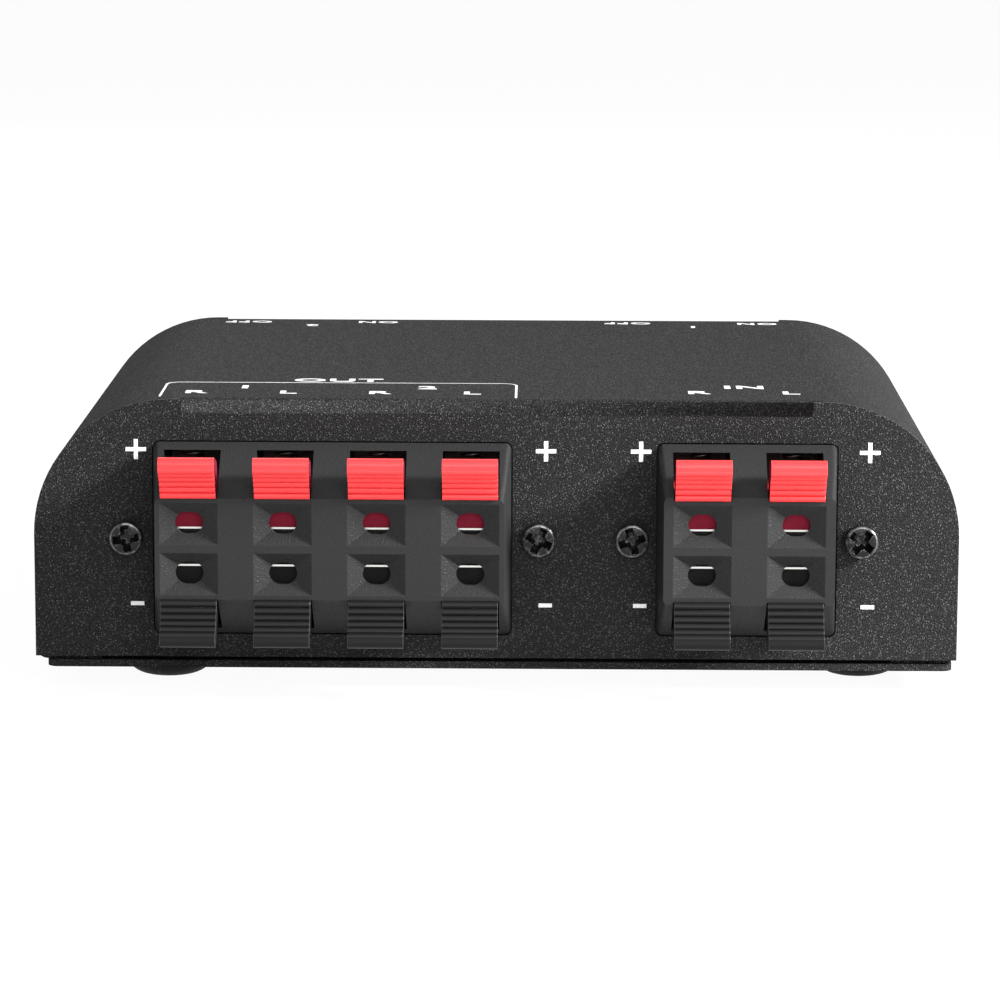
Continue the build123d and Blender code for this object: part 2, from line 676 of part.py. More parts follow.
def rocker(x):
    """Two-winged paddle at its OFF tilt: round ends, a valley in the middle, pins and plunger guides."""
    plane = switch_plane(x, rocker_pivot_out, rocker_tilt)
    skirt_x = sqrt(rocker_radius**2 - rocker_skirt**2)
    crest_x = wing_meets_circle(rocker_rise, rocker_radius)
    crest_y = rocker_rise + wing_slope * crest_x
    with BuildPart() as paddle:
        with BuildSketch(plane):
            with BuildLine():
                Polyline((-crest_x, crest_y), (0, rocker_rise), (crest_x, crest_y))
                ThreePointArc((crest_x, crest_y), (rocker_radius, 0), (skirt_x, -rocker_skirt))
                Line((skirt_x, -rocker_skirt), (-skirt_x, -rocker_skirt))
                ThreePointArc((-skirt_x, -rocker_skirt), (-rocker_radius, 0), (-crest_x, crest_y))
            make_face()
        extrude(amount=rocker_width / 2, both=True)
        rounded = [(-crest_x, crest_y, rocker_tip_radius), (crest_x, crest_y, rocker_tip_radius),
                   (0, rocker_rise, rocker_valley_radius)]
        for corner_x, corner_y, radius in rounded:
            upright = paddle.edges().filter_by(Axis.Z)
            fillet(upright.sort_by_distance(plane.from_local_coords((corner_x, corner_y, 0)))[0], radius)
        # Plunger guides with their bores.
        with BuildSketch(plane):
            with Locations((0, -rocker_skirt - stem_length / 2)):
                Rectangle(stem_width, stem_length)
        extrude(amount=(pole_spacing + stem_width) / 2, both=True)
        bore_plane = Plane(origin=plane.from_local_coords((0, -rocker_skirt - stem_length, 0)),
                           x_dir=plane.x_dir, z_dir=plane.y_dir)
        with BuildSketch(bore_plane):
            with Locations((0, -pole_spacing / 2), (0, pole_spacing / 2)):
                Circle(plunger_radius + pivot_clearance)
        extrude(amount=rocker_skirt + stem_length - plunger_bore_end, mode=Mode.SUBTRACT)
        with BuildSketch(plane):
            Circle(rocker_pin_radius)
        extrude(amount=rocker_width / 2 + rocker_pin_length, both=True)
    return paddle.part


def plungers(x):
    """Two round-nosed plungers in the rocker's guides."""
    plane = switch_plane(x, rocker_pivot_out, rocker_tilt)
    with BuildPart() as pins:
        for side in (-1, 1):
            middle = plane.from_local_coords((0, -plunger_reach, side * pole_spacing / 2))
            with BuildSketch(Plane(origin=middle, x_dir=plane.x_dir, z_dir=plane.y_dir)):
                Circle(plunger_radius)
            extrude(amount=plunger_length)
            with Locations(middle):
                Sphere(plunger_radius)
    return pins.part


def plunger_springs(x):
    """Coils between the plungers and the closed ends of their bores."""
    plane = switch_plane(x, rocker_pivot_out, rocker_tilt)
    length = plunger_reach - plunger_length - plunger_bore_end - 2 * plunger_spring_gap
    coils = [coil_spring(plane.from_local_coords((0, -plunger_reach + plunger_length + plunger_spring_gap,
                                                  side * pole_spacing / 2)),
                         plane.y_dir, length, plunger_spring_radius, plunger_spring_wire_radius,
                         plunger_spring_turns)
             for side in (-1, 1)]
    return Compound(children=coils)


def switch_blades(x):
    """Two see-saw contact blades at their OFF tilt, each tilting on its common lug."""
    plane = switch_plane(x, -blade_setback, -blade_tilt)
    with BuildPart() as blades:
        for side in (-1, 1):
            with BuildSketch(plane.offset(side * pole_spacing / 2)):
                Rectangle(blade_length, blade_thickness)
            extrude(amount=blade_width / 2, both=True)
    return blades.part


def switch_lugs(x):
    """Common lugs under the blades' middles and on lugs under their far ends, all with tabs behind."""
    blade_under = blade_setback + blade_thickness / 2
    common_top = -blade_under - blade_gap
    on_top = common_top - (lug_spacing + lug_thickness / 2) * tan(radians(blade_tilt))
    with BuildPart() as lugs:
        for lug_x, top in ((x, common_top), (x - lug_spacing, on_top)):
            for side in (-1, 1):
                with BuildSketch(panel_plane(back_y + top)):
                    with Locations((lug_x, switch_z + side * pole_spacing / 2)):
                        Rectangle(lug_thickness, lug_width)
                extrude(amount=switch_depth + lug_length + top)
    return lugs.part


for switch_name, switch_x in switch_places.items():
    save(switch_frame(switch_x), f"{switch_name}_frame")
    save(rocker(switch_x), f"{switch_name}_rocker")
    save(plungers(switch_x), f"{switch_name}_plungers")
    save(plunger_springs(switch_x), f"{switch_name}_plunger_springs")
    save(switch_blades(switch_x), f"{switch_name}_blades")
    save(switch_lugs(switch_x), f"{switch_name}_lugs")


def wire(points):
    """One insulated wire along straight runs joined by arcs as wide as the runs beside them allow."""
    corners = [Vector(*point) for point in points]
    radii = []
    for before, corner, after in zip(corners, corners[1:], corners[2:]):
        turn = radians((corner - before).get_angle(after - corner))
        shorter = min((corner - before).length, (after - corner).length)
        radii.append(bend_share * shorter / tan(turn / 2))
    with BuildPart() as insulated:
        with BuildLine() as route:
            FilletPolyline(*corners, radius=radii)
        with BuildSketch(Plane(origin=route.line @ 0, z_dir=route.line % 0)):
            Circle(wire_radius)
        sweep()
    return insulated.part


def switched_wire(start_x, end_x, pole, level):
    """From an upper tab to a lug of a switch, at a level of its own in between."""
    start_z = terminal_z + web_half + contact_thickness / 2
    end_z = switch_z + pole * pole_spacing / 2
    return wire([(start_x, tab_end_y, start_z), (start_x, tab_end_y + wire_lead, start_z),
                 (start_x, tab_end_y + wire_ramp, level), (end_x, lug_end_y - wire_ramp, level),
                 (end_x, lug_end_y - wire_lead, end_z), (end_x, lug_end_y, end_z)])


def return_wire(start_x, end_x, order):
    """From a lower tab of one channel to the same tab of another, crossing below the tabs."""
    tab_z = terminal_z - web_half - contact_thickness / 2
    cross_y = tab_end_y + return_ramp + order * return_step
    cross_z = tab_z - return_drop
    drop_y = cross_y - return_drop / 2
    return wire([(start_x, tab_end_y, tab_z), (start_x, drop_y, tab_z), (start_x, cross_y, cross_z),
                 (end_x, cross_y, cross_z), (end_x, drop_y, tab_z), (end_x, tab_end_y, tab_z)])


# ---- wiring: plus sides through the switches, minus sides straight across ----
on_lugs = {name: x - lug_spacing for name, x in switch_places.items()}
levels = [cover_top - sheet - highest_wire - i * wire_level_step for i in range(8)]
wiring = {
    "pair_1_wires": [
        switched_wire(channels["pair_1_right"], on_lugs["switch_1"], 1, levels[0]),
        switched_wire(channels["pair_1_left"], on_lugs["switch_1"], -1, levels[1]),
    ],
    "pair_2_wires": [
        switched_wire(channels["pair_2_right"], on_lugs["switch_2"], 1, levels[2]),
        switched_wire(channels["pair_2_left"], on_lugs["switch_2"], -1, levels[3]),
    ],
    "amplifier_wires": [
        switched_wire(channels["input_right"] - wire_side, switch_places["switch_2"], 1, levels[4]),
        switched_wire(channels["input_left"] - wire_side, switch_places["switch_2"], -1, levels[5]),
        switched_wire(channels["input_right"] + wire_side, switch_places["switch_1"], 1, levels[6]),
        switched_wire(channels["input_left"] + wire_side, switch_places["switch_1"], -1, levels[7]),
    ],
    "return_wires": [
        return_wire(channels["input_right"] - wire_side, channels["pair_2_right"], 0),
        return_wire(channels["input_left"] - wire_side, channels["pair_2_left"], 1),
        return_wire(channels["input_right"] + wire_side, channels["pair_1_right"], 2),
        return_wire(channels["input_left"] + wire_side, channels["pair_1_left"], 3),
    ],
}
for name, wires in wiring.items():
    save(Compound(children=wires), name)
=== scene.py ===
import bmesh
import bpy
import json
from math import cos, pi, radians, sin
from mathutils import Matrix, Vector

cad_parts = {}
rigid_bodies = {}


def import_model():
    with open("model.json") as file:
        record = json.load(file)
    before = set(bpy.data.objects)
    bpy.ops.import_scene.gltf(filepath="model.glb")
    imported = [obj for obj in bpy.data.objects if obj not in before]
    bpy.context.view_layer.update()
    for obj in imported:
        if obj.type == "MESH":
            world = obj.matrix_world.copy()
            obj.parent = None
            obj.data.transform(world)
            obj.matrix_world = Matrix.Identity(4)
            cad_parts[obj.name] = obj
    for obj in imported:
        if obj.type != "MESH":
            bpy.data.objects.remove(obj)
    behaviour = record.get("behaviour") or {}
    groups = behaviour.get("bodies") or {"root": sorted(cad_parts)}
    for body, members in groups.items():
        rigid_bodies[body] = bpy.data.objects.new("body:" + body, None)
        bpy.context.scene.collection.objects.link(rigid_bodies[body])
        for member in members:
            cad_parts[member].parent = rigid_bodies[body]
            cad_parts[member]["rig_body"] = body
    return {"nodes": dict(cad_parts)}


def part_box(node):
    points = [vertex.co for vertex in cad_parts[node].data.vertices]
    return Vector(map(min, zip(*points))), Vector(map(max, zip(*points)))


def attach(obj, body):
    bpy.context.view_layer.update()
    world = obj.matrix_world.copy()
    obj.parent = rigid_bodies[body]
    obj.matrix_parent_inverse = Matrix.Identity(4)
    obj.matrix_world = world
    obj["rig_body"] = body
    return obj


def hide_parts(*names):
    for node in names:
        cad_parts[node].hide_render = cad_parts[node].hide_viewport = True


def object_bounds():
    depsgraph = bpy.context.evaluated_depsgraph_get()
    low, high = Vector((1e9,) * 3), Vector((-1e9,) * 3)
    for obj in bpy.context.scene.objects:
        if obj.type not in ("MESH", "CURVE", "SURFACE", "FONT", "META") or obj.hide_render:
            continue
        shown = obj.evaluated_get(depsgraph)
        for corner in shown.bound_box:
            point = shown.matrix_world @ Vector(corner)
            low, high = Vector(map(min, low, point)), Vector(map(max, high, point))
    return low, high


# A speaker selector switch: a black folded steel case with push-lever wire terminals on one side and two
# rocker switches on the other. Metres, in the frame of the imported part. Every section below dresses one
# piece, or one group of like pieces, in the order in which the real one is put together.
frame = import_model()
cad_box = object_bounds()
nodes = frame["nodes"]
MM = 0.001

# ---- Studio: white table, soft lamps and the camera ----
# The switch stands on a white table in a bright room. A small lamp close by on the right grazes the terminal
# side, a wide one lights it from the front, and weaker ones hang above and behind.
panel_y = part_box("top_cover")[0].y
table_size = 8
table_colour = (0.80, 0.80, 0.80, 1)
table_glow = 0.90                 # share of the table's own white in what shows the background
table_white = 1.06
room_light = 0.16
lamps = [
    # name, place, width and height in metres, power in watts
    ("key_lamp", (0.52, -0.20, 0.28), 0.12, 0.12, 15.0),
    ("front_lamp", (0.15, -0.80, 0.34), 0.60, 0.40, 4.5),
    ("top_lamp", (0.02, -0.30, 0.58), 0.50, 0.40, 0.80),
    ("back_lamp", (-0.30, 0.65, 0.40), 0.50, 0.40, 2.4),
]
lamp_aim = Vector((0, 0, 20 * MM))
camera_x = 6.44 * MM
camera_distance = 555.6 * MM      # from the terminal side's panel
camera_height = 124.4 * MM
pitch, yaw, roll = radians(9.968), radians(-0.61), radians(0.20)
focal_length = 148.2              # millimetres, as is the sensor's width
sensor_width = 36

bpy.ops.object.select_all(action="DESELECT")
bpy.ops.mesh.primitive_plane_add(size=table_size, location=(0, 0, cad_box[0].z))
table = bpy.context.object
table.name = "table"
bpy.ops.object.transform_apply(location=True, rotation=True, scale=True)


def background_ray(tree):
    """Mask that is 1 for the rays that show the background: the camera's, mirrored ones and through glass."""
    path = tree.nodes.new("ShaderNodeLightPath")
    seen = path.outputs["Is Camera Ray"]
    for ray in ("Is Glossy Ray", "Is Transmission Ray"):
        either = tree.nodes.new("ShaderNodeMath")
        either.operation = "MAXIMUM"
        tree.links.new(seen, either.inputs[0])
        tree.links.new(path.outputs[ray], either.inputs[1])
        seen = either.outputs[0]
    return seen


table_paint = bpy.data.materials.new("white_table")
table_paint.use_nodes = True
tree = table_paint.node_tree
tree.nodes.clear()
diffuse = tree.nodes.new("ShaderNodeBsdfDiffuse")
diffuse.inputs["Color"].default_value = table_colour
glow = tree.nodes.new("ShaderNodeEmission")
glow.inputs["Strength"].default_value = table_white
share = tree.nodes.new("ShaderNodeMath")
share.operation = "MULTIPLY"
share.inputs[1].default_value = table_glow
blend = tree.nodes.new("ShaderNodeMixShader")
output = tree.nodes.new("ShaderNodeOutputMaterial")
tree.links.new(background_ray(tree), share.inputs[0])
tree.links.new(share.outputs[0], blend.inputs["Fac"])
tree.links.new(diffuse.outputs["BSDF"], blend.inputs[1])
tree.links.new(glow.outputs["Emission"], blend.inputs[2])
tree.links.new(blend.outputs["Shader"], output.inputs["Surface"])
table.data.materials.append(table_paint)

room = bpy.data.worlds.new("bright_room")
room.use_nodes = True
tree = room.node_tree
tree.nodes.clear()
walls = tree.nodes.new("ShaderNodeBackground")
walls.inputs["Strength"].default_value = room_light
walls.inputs["Color"].default_value = (1, 1, 1, 1)
backdrop = tree.nodes.new("ShaderNodeBackground")
backdrop.inputs["Color"].default_value = (1, 1, 1, 1)
backdrop.inputs["Strength"].default_value = 1.0
blend = tree.nodes.new("ShaderNodeMixShader")
output = tree.nodes.new("ShaderNodeOutputWorld")
tree.links.new(background_ray(tree), blend.inputs["Fac"])
tree.links.new(walls.outputs["Background"], blend.inputs[1])
tree.links.new(backdrop.outputs["Background"], blend.inputs[2])
tree.links.new(blend.outputs["Shader"], output.inputs["Surface"])
bpy.context.scene.world = room

for name, place, width, height, power in lamps:
    data = bpy.data.lights.new(name, "AREA")
    data.shape = "RECTANGLE"
    data.size = width
    data.size_y = height
    data.energy = power
    lamp = bpy.data.objects.new(name, data)
    lamp.location = place
    lamp.rotation_euler = (lamp_aim - Vector(place)).to_track_quat("-Z", "Y").to_euler()
    bpy.context.scene.collection.objects.link(lamp)

forward = Vector((sin(yaw) * cos(pitch), cos(yaw) * cos(pitch), -sin(pitch)))
level = Vector((cos(yaw), -sin(yaw), 0))
upright = level.cross(forward)
right = level * cos(roll) + upright * sin(roll)
up = upright * cos(roll) - level * sin(roll)
lens = bpy.data.cameras.new("camera")
lens.lens = focal_length
lens.sensor_width = sensor_width
lens.clip_start = 0.01
lens.clip_end = 20
camera = bpy.data.objects.new("camera", lens)
bpy.context.scene.collection.objects.link(camera)
turn = Matrix((right, up, -forward)).transposed().to_4x4()
camera.matrix_world = Matrix.Translation((camera_x, panel_y - camera_distance, camera_height)) @ turn
bpy.context.scene.camera = camera
bpy.context.scene.view_settings.view_transform = "Standard"

# ---- Top cover: powder-coated steel ----
# One folded sheet: the top, its rounded shoulders and sides, and both panels bent down from the top. The
# baked coat is a fine black pebble whose tops get a painted glint, a lighter colour, and it rounds every cut
# edge.
coat_dark = (0.0070, 0.0070, 0.0073, 1)
coat_light = (0.062, 0.062, 0.063, 1)
coat_edge_highlight = (0.20, 0.20, 0.20, 1)   # painted highlight on the cut edges of the shoulders
coat_pebble = 0.19 * MM
coat_relief = 0.12 * MM
coat_edge = 0.2 * MM
pebbles_apart = 0.62              # cells of strewn pebbles for each size of the grain
pebble_foot, pebble_top = 0.42, 0.04
grain_share = 0.45                # of the fine grain beside the pebbles
full_height = 0.69                # evens the sum of both to 0-1
painted_glint_power = 1.6
bend_half = 43.1 * MM             # half the length of the bends between the top and the panels
bend_radius = 2.0 * MM
relief_zone = 0.4 * MM            # the narrow cuts beside the bends' ends are left sharp
relief_foot = 36 * MM             # above this height
relief_wall_foot = 30 * MM        # the middles of the cuts' walls lie above this one
relief_fill = 0.14 * MM           # the coat bridges them, but for a hairline
shoulder_foot = 25 * MM
shoulder_front = 0.25 * MM
flat_tolerance = 0.01 * MM
weld_distance = 0.001 * MM        # corners closer than this are one corner
flat_angle = 0.3                  # degrees between faces that count as one
sharp_edge = 30                   # degrees beyond which an edge gets rounded

pebbles = bpy.data.node_groups.new("pebbles", "ShaderNodeTree")
pebbles.interface.new_socket("Size", in_out="INPUT", socket_type="NodeSocketFloat").default_value = 0.001
pebbles.interface.new_socket("Height", in_out="OUTPUT", socket_type="NodeSocketFloat")
pebbles.interface.new_socket("Painted_Glints", in_out="OUTPUT", socket_type="NodeSocketFloat")


def fill_pebbles(group):
    """Fine grain of a given size with round pebbles strewn over it, and a mask of the pebbles' tops for a
    painted glint.
    """
    given = group.nodes.new("NodeGroupInput")
    result = group.nodes.new("NodeGroupOutput")
    place = group.nodes.new("ShaderNodeTexCoord")
    in_grains = group.nodes.new("ShaderNodeMath")
    in_grains.operation = "DIVIDE"
    in_grains.inputs[0].default_value = 1.0
    group.links.new(given.outputs["Size"], in_grains.inputs[1])
    scaled = group.nodes.new("ShaderNodeVectorMath")
    scaled.operation = "SCALE"
    group.links.new(place.outputs["Object"], scaled.inputs[0])
    group.links.new(in_grains.outputs[0], scaled.inputs["Scale"])

    def noise(scale, detail, low, high):
        texture = group.nodes.new("ShaderNodeTexNoise")
        texture.inputs["Scale"].default_value = scale
        texture.inputs["Detail"].default_value = detail
        group.links.new(scaled.outputs[0], texture.inputs["Vector"])
        stretch = group.nodes.new("ShaderNodeMapRange")
        stretch.interpolation_type = "SMOOTHSTEP"
        stretch.inputs["From Min"].default_value = low
        stretch.inputs["From Max"].default_value = high
        group.links.new(texture.outputs["Fac"], stretch.inputs["Value"])
        return stretch.outputs["Result"]

    strewn = group.nodes.new("ShaderNodeTexVoronoi")
    strewn.inputs["Scale"].default_value = pebbles_apart
    group.links.new(scaled.outputs[0], strewn.inputs["Vector"])
    dome = group.nodes.new("ShaderNodeMapRange")
    dome.interpolation_type = "SMOOTHSTEP"
    dome.inputs["From Min"].default_value = pebble_foot
    dome.inputs["From Max"].default_value = pebble_top
    group.links.new(strewn.outputs["Distance"], dome.inputs["Value"])
    tall = group.nodes.new("ShaderNodeMath")
    tall.operation = "MULTIPLY"
    group.links.new(dome.outputs["Result"], tall.inputs[0])
    group.links.new(noise(0.25, 1.0, 0.30, 0.50), tall.inputs[1])
    height = group.nodes.new("ShaderNodeMath")
    height.operation = "MULTIPLY_ADD"
    height.inputs[1].default_value = grain_share
    group.links.new(noise(1.0, 1.5, 0.3, 0.7), height.inputs[0])
    group.links.new(tall.outputs[0], height.inputs[2])
    evened = group.nodes.new("ShaderNodeMath")
    evened.operation = "MULTIPLY"
    evened.inputs[1].default_value = full_height
    group.links.new(height.outputs[0], evened.inputs[0])
    group.links.new(evened.outputs[0], result.inputs["Height"])
    top = group.nodes.new("ShaderNodeMath")
    top.operation = "POWER"
    top.inputs[1].default_value = painted_glint_power
    group.links.new(tall.outputs[0], top.inputs[0])
    group.links.new(top.outputs[0], result.inputs["Painted_Glints"])


fill_pebbles(pebbles)


def pebbled_finish(name, dark, light, pebble, relief, roughness, gloss, painted_glints=0.0, spread=0.06):
    """Black coat or moulding whose colour, gloss and height follow the pebbles, with a painted glint, a
    lighter colour, added on the pebbles' tops.
    """
    material = bpy.data.materials.new(name)
    material.use_nodes = True
    tree = material.node_tree
    shader = tree.nodes["Principled BSDF"]
    shader.inputs["Specular IOR Level"].default_value = gloss
    grains = tree.nodes.new("ShaderNodeGroup")
    grains.node_tree = pebbles
    grains.inputs["Size"].default_value = pebble
    colour = tree.nodes.new("ShaderNodeMix")
    colour.data_type = "RGBA"
    colour.inputs["A"].default_value = dark
    colour.inputs["B"].default_value = light
    tree.links.new(grains.outputs["Height"], colour.inputs["Factor"])
    # Painted glint: a lighter colour added on the pebbles' tops, whether light falls there or not.
    glint = tree.nodes.new("ShaderNodeMix")
    glint.data_type = "RGBA"
    glint.blend_type = "ADD"
    glint.inputs["B"].default_value = (painted_glints, painted_glints, painted_glints, 1)
    tree.links.new(grains.outputs["Painted_Glints"], glint.inputs["Factor"])
    tree.links.new(colour.outputs["Result"], glint.inputs["A"])
    tree.links.new(glint.outputs["Result"], shader.inputs["Base Color"])
    rough = tree.nodes.new("ShaderNodeMapRange")
    rough.inputs["To Min"].default_value = roughness + spread
    rough.inputs["To Max"].default_value = roughness - spread
    tree.links.new(grains.outputs["Height"], rough.inputs["Value"])
    tree.links.new(rough.outputs["Result"], shader.inputs["Roughness"])
    bump = tree.nodes.new("ShaderNodeBump")
    bump.inputs["Strength"].default_value = 1.0
    bump.inputs["Distance"].default_value = relief
    tree.links.new(grains.outputs["Height"], bump.inputs["Height"])
    tree.links.new(bump.outputs["Normal"], shader.inputs["Normal"])
    return material


def only(piece):
    """Select one piece and make it the active one."""
    bpy.ops.object.select_all(action="DESELECT")
    piece.select_set(True)
    bpy.context.view_layer.objects.active = piece


def wear(piece, material):
    """Give a piece one material."""
    piece.data.materials.clear()
    piece.data.materials.append(material)


def rounded(node, name, edge, material, segments=2, crisp=180, spared=None, edge_material=None,
            shaped=None):
    """Copy of a piece with its sharp edges rounded, which is shown in its place.

    Edges that bend by more than crisp degrees but less than sharp_edge stay sharp. The edges for whose
    middle spared(middle) is true aren't rounded. Before all that, shaped(piece) may change the merged mesh.
    """
    piece = bpy.data.objects.new(name, nodes[node].data.copy())
    bpy.context.scene.collection.objects.link(piece)
    only(piece)
    bpy.ops.mesh.customdata_custom_splitnormals_clear()
    bpy.ops.object.mode_set(mode="EDIT")
    bpy.ops.mesh.select_all(action="SELECT")
    bpy.ops.mesh.remove_doubles(threshold=weld_distance)
    bpy.ops.mesh.dissolve_limited(angle_limit=radians(flat_angle))
    bpy.ops.object.mode_set(mode="OBJECT")
    if shaped:
        shaped(piece)
    bpy.ops.object.shade_smooth_by_angle(angle=radians(crisp))
    shape = bmesh.new()
    shape.from_mesh(piece.data)
    weight = shape.edges.layers.float.new("bevel_weight_edge")
    for line in shape.edges:
        centre = (line.verts[0].co + line.verts[1].co) / 2
        if line.is_manifold and line.calc_face_angle() > radians(sharp_edge):
            line[weight] = 0 if spared and spared(centre) else 1
    shape.to_mesh(piece.data)
    shape.free()
    wear(piece, material)
    bevel = piece.modifiers.new("edge", "BEVEL")
    bevel.width = edge
    bevel.segments = segments
    bevel.limit_method = "WEIGHT"
    if edge_material:
        piece.data.materials.append(edge_material)
        bevel.material = 1
    bpy.ops.object.modifier_apply(modifier="edge")
    normals = piece.modifiers.new("normals", "WEIGHTED_NORMAL")
    normals.weight = 80
    normals.keep_sharp = True
    bpy.ops.object.modifier_apply(modifier="normals")
    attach(piece, nodes[node]["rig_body"])
    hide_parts(node)
    return piece


def select_faces(piece, wanted):
    """In edit mode, select the faces for which wanted(face) is true."""
    bpy.ops.mesh.select_mode(type="FACE")
    bpy.ops.mesh.select_all(action="DESELECT")
    shape = bmesh.from_edit_mesh(piece.data)
    for face in shape.faces:
        face.select = wanted(face)
    shape.select_flush_mode()
    bmesh.update_edit_mesh(piece.data)


# Both coats get a painted glint, a lighter colour on the pebbles' tops.
powder_coat = pebbled_finish("black_powder_coat", coat_dark, coat_light, coat_pebble, coat_relief,
                             roughness=0.58, gloss=0.012, painted_glints=0.06, spread=0.2)
# The shoulders' cut edges get a lighter coat as a painted highlight.
highlight_coat = pebbled_finish("painted_highlight_coat", coat_light, coat_edge_highlight, coat_pebble, coat_relief,
                           roughness=0.40, gloss=0.1, painted_glints=0.10)


def blend_bends(piece):
    """Lower the top's ends along each bend's arc, so that the sheet runs smoothly into both panels."""
    low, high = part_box("top_cover")
    flat = high.z - flat_tolerance

    def in_top(face):
        return face.normal.z > 0.999 and face.calc_center_median().z > flat

    for edge_y, inwards in ((low.y, 1), (high.y, -1)):
        bpy.ops.object.mode_set(mode="EDIT")
        for depth in (bend_radius, 0.8 * bend_radius):
            select_faces(piece, in_top)
            bpy.ops.mesh.bisect(plane_co=(0, edge_y + inwards * depth, 0), plane_no=(0, 1, 0))
        for side in (-1, 1):
            select_faces(piece, lambda face: in_top(face)
                         and abs(face.calc_center_median().y - edge_y) < bend_radius)
            bpy.ops.mesh.bisect(plane_co=(side * bend_half, 0, 0), plane_no=(1, 0, 0))
        bpy.ops.object.mode_set(mode="OBJECT")
        for corner in piece.data.vertices:
            inset = bend_radius - (corner.co.y - edge_y) * inwards
            if corner.co.z > flat and inset > 0 and abs(corner.co.x) < bend_half + flat_tolerance:
                corner.co.z = high.z - bend_radius + (bend_radius ** 2 - inset ** 2) ** 0.5
    bpy.ops.object.mode_set(mode="EDIT")
    bpy.ops.mesh.select_all(action="SELECT")
    bpy.ops.mesh.remove_doubles(threshold=0.5 * flat_tolerance)
    bpy.ops.object.mode_set(mode="OBJECT")


def in_relief(place):
    """True for a place in or at one of the narrow cuts beside the bends' ends."""
    return bend_half - 0.05 * MM < abs(place.x) < bend_half + relief_zone and place.z > relief_foot


def beside_bend(face, side):
    """True for the end face of a bend on one side, which is a wall of the narrow cut."""
    centre = face.calc_center_median()
    return (face.normal.x * side > 0.9 and centre.z > relief_wall_foot
            and abs(centre.x - side * bend_half) < 2 * flat_tolerance)


shell = rounded("top_cover", "cover_shell", coat_edge, powder_coat, spared=in_relief, edge_material=highlight_coat,
                shaped=blend_bends)
# All faces but the shoulders' cut front edges go back to the plain coat, so only those keep the painted
# highlight.
for face in shell.data.polygons:
    on_shoulder = abs(face.center.x) > bend_half and face.center.z > shoulder_foot
    if not (on_shoulder and face.center.y < panel_y + shoulder_front):
        face.material_index = 0
only(shell)
bpy.ops.object.mode_set(mode="EDIT")
for side in (-1, 1):
    select_faces(shell, lambda face: beside_bend(face, side))
    bpy.ops.mesh.extrude_region_move(TRANSFORM_OT_translate={"value": (side * relief_fill, 0, 0)})
bpy.ops.object.mode_set(mode="OBJECT")

# ---- Printed marks: white screen-printed ink ----
# Plain words and signs printed on the coat: OUT and IN over the terminal blocks with a bracket round the two
# pairs, R and L over each column, signs beside the rows, and ON, OFF and a number above each switch.
top_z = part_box("top_cover")[1].z
ink_rise = 0.03 * MM
ink_white = (0.86, 0.86, 0.84, 1)
ink_grey = (0.62, 0.62, 0.61, 1)
letter_stretch = 1.45             # the letters are wide ones
letter_weight = 0.03              # and bold, as a share of their line height
letter_gap = 1.12
mark_depth = {"OUT": 18.6 * MM, "pair": 11.8 * MM, "R L": 7.0 * MM, "IN": 13.6 * MM, "IN R L": 8.5 * MM}
mark_cap = {"OUT": 2.9 * MM, "pair": 2.8 * MM, "R L": 2.6 * MM, "IN": 2.8 * MM, "IN R L": 2.6 * MM}
switch_cap = 2.0 * MM
switch_number_depth = 77.5 * MM
switch_word_depth = 81.4 * MM
switch_word_offset = 10.1 * MM
bracket_depth = 16.15 * MM        # its long line, behind the panel
bracket_start = 2.6 * MM
bracket_corner = 1.9 * MM
bracket_reach = 4.8 * MM          # beyond the left column
bracket_right_reach = 6.0 * MM
bracket_bends = 6                 # in each round corner
bracket_line = 0.34 * MM
sign_arm = 2.8 * MM
sign_bar = 0.56 * MM
minus_arm = 1.85 * MM
plus_z = 33.55 * MM
minus_z = 12.05 * MM
sign_x = [-49.35 * MM, 6.8 * MM, 19.8 * MM, 51.1 * MM]

white_ink = pebbled_finish("white_ink", ink_grey, ink_white, coat_pebble, 0.6 * coat_relief,
                           roughness=0.5, gloss=0.2)


def middle(node):
    """Middle of a piece's box."""
    low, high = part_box(node)
    return (low + high) / 2


def printed_word(words, x, depth, cap, turned=False):
    """Letters on the top of the cover, read from the terminal side or, turned, from the switch side."""
    bpy.ops.object.select_all(action="DESELECT")
    bpy.ops.object.text_add()
    piece = bpy.context.object
    piece.data.body = words
    piece.data.align_x = "CENTER"
    piece.data.align_y = "CENTER"
    piece.data.space_character = letter_gap
    piece.data.offset = letter_weight
    piece.data.extrude = 0.5
    bpy.ops.object.convert(target="MESH")
    bpy.ops.object.origin_set(type="GEOMETRY_ORIGIN", center="BOUNDS")
    piece = bpy.context.object
    size = cap / piece.dimensions.y
    piece.scale = (letter_stretch * size, size, ink_rise)
    piece.rotation_euler.z = pi if turned else 0
    piece.location = (x, panel_y + depth, top_z)
    bpy.ops.object.transform_apply(location=True, rotation=True, scale=True)
    return piece


def printed_group(name, pieces):
    """Join marks into one print on the cover."""
    bpy.ops.object.select_all(action="DESELECT")
    for piece in pieces:
        piece.select_set(True)
    bpy.context.view_layer.objects.active = pieces[0]
    bpy.ops.object.join()
    piece = bpy.context.object
    piece.name = name
    wear(piece, white_ink)
    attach(piece, "case")
    return piece


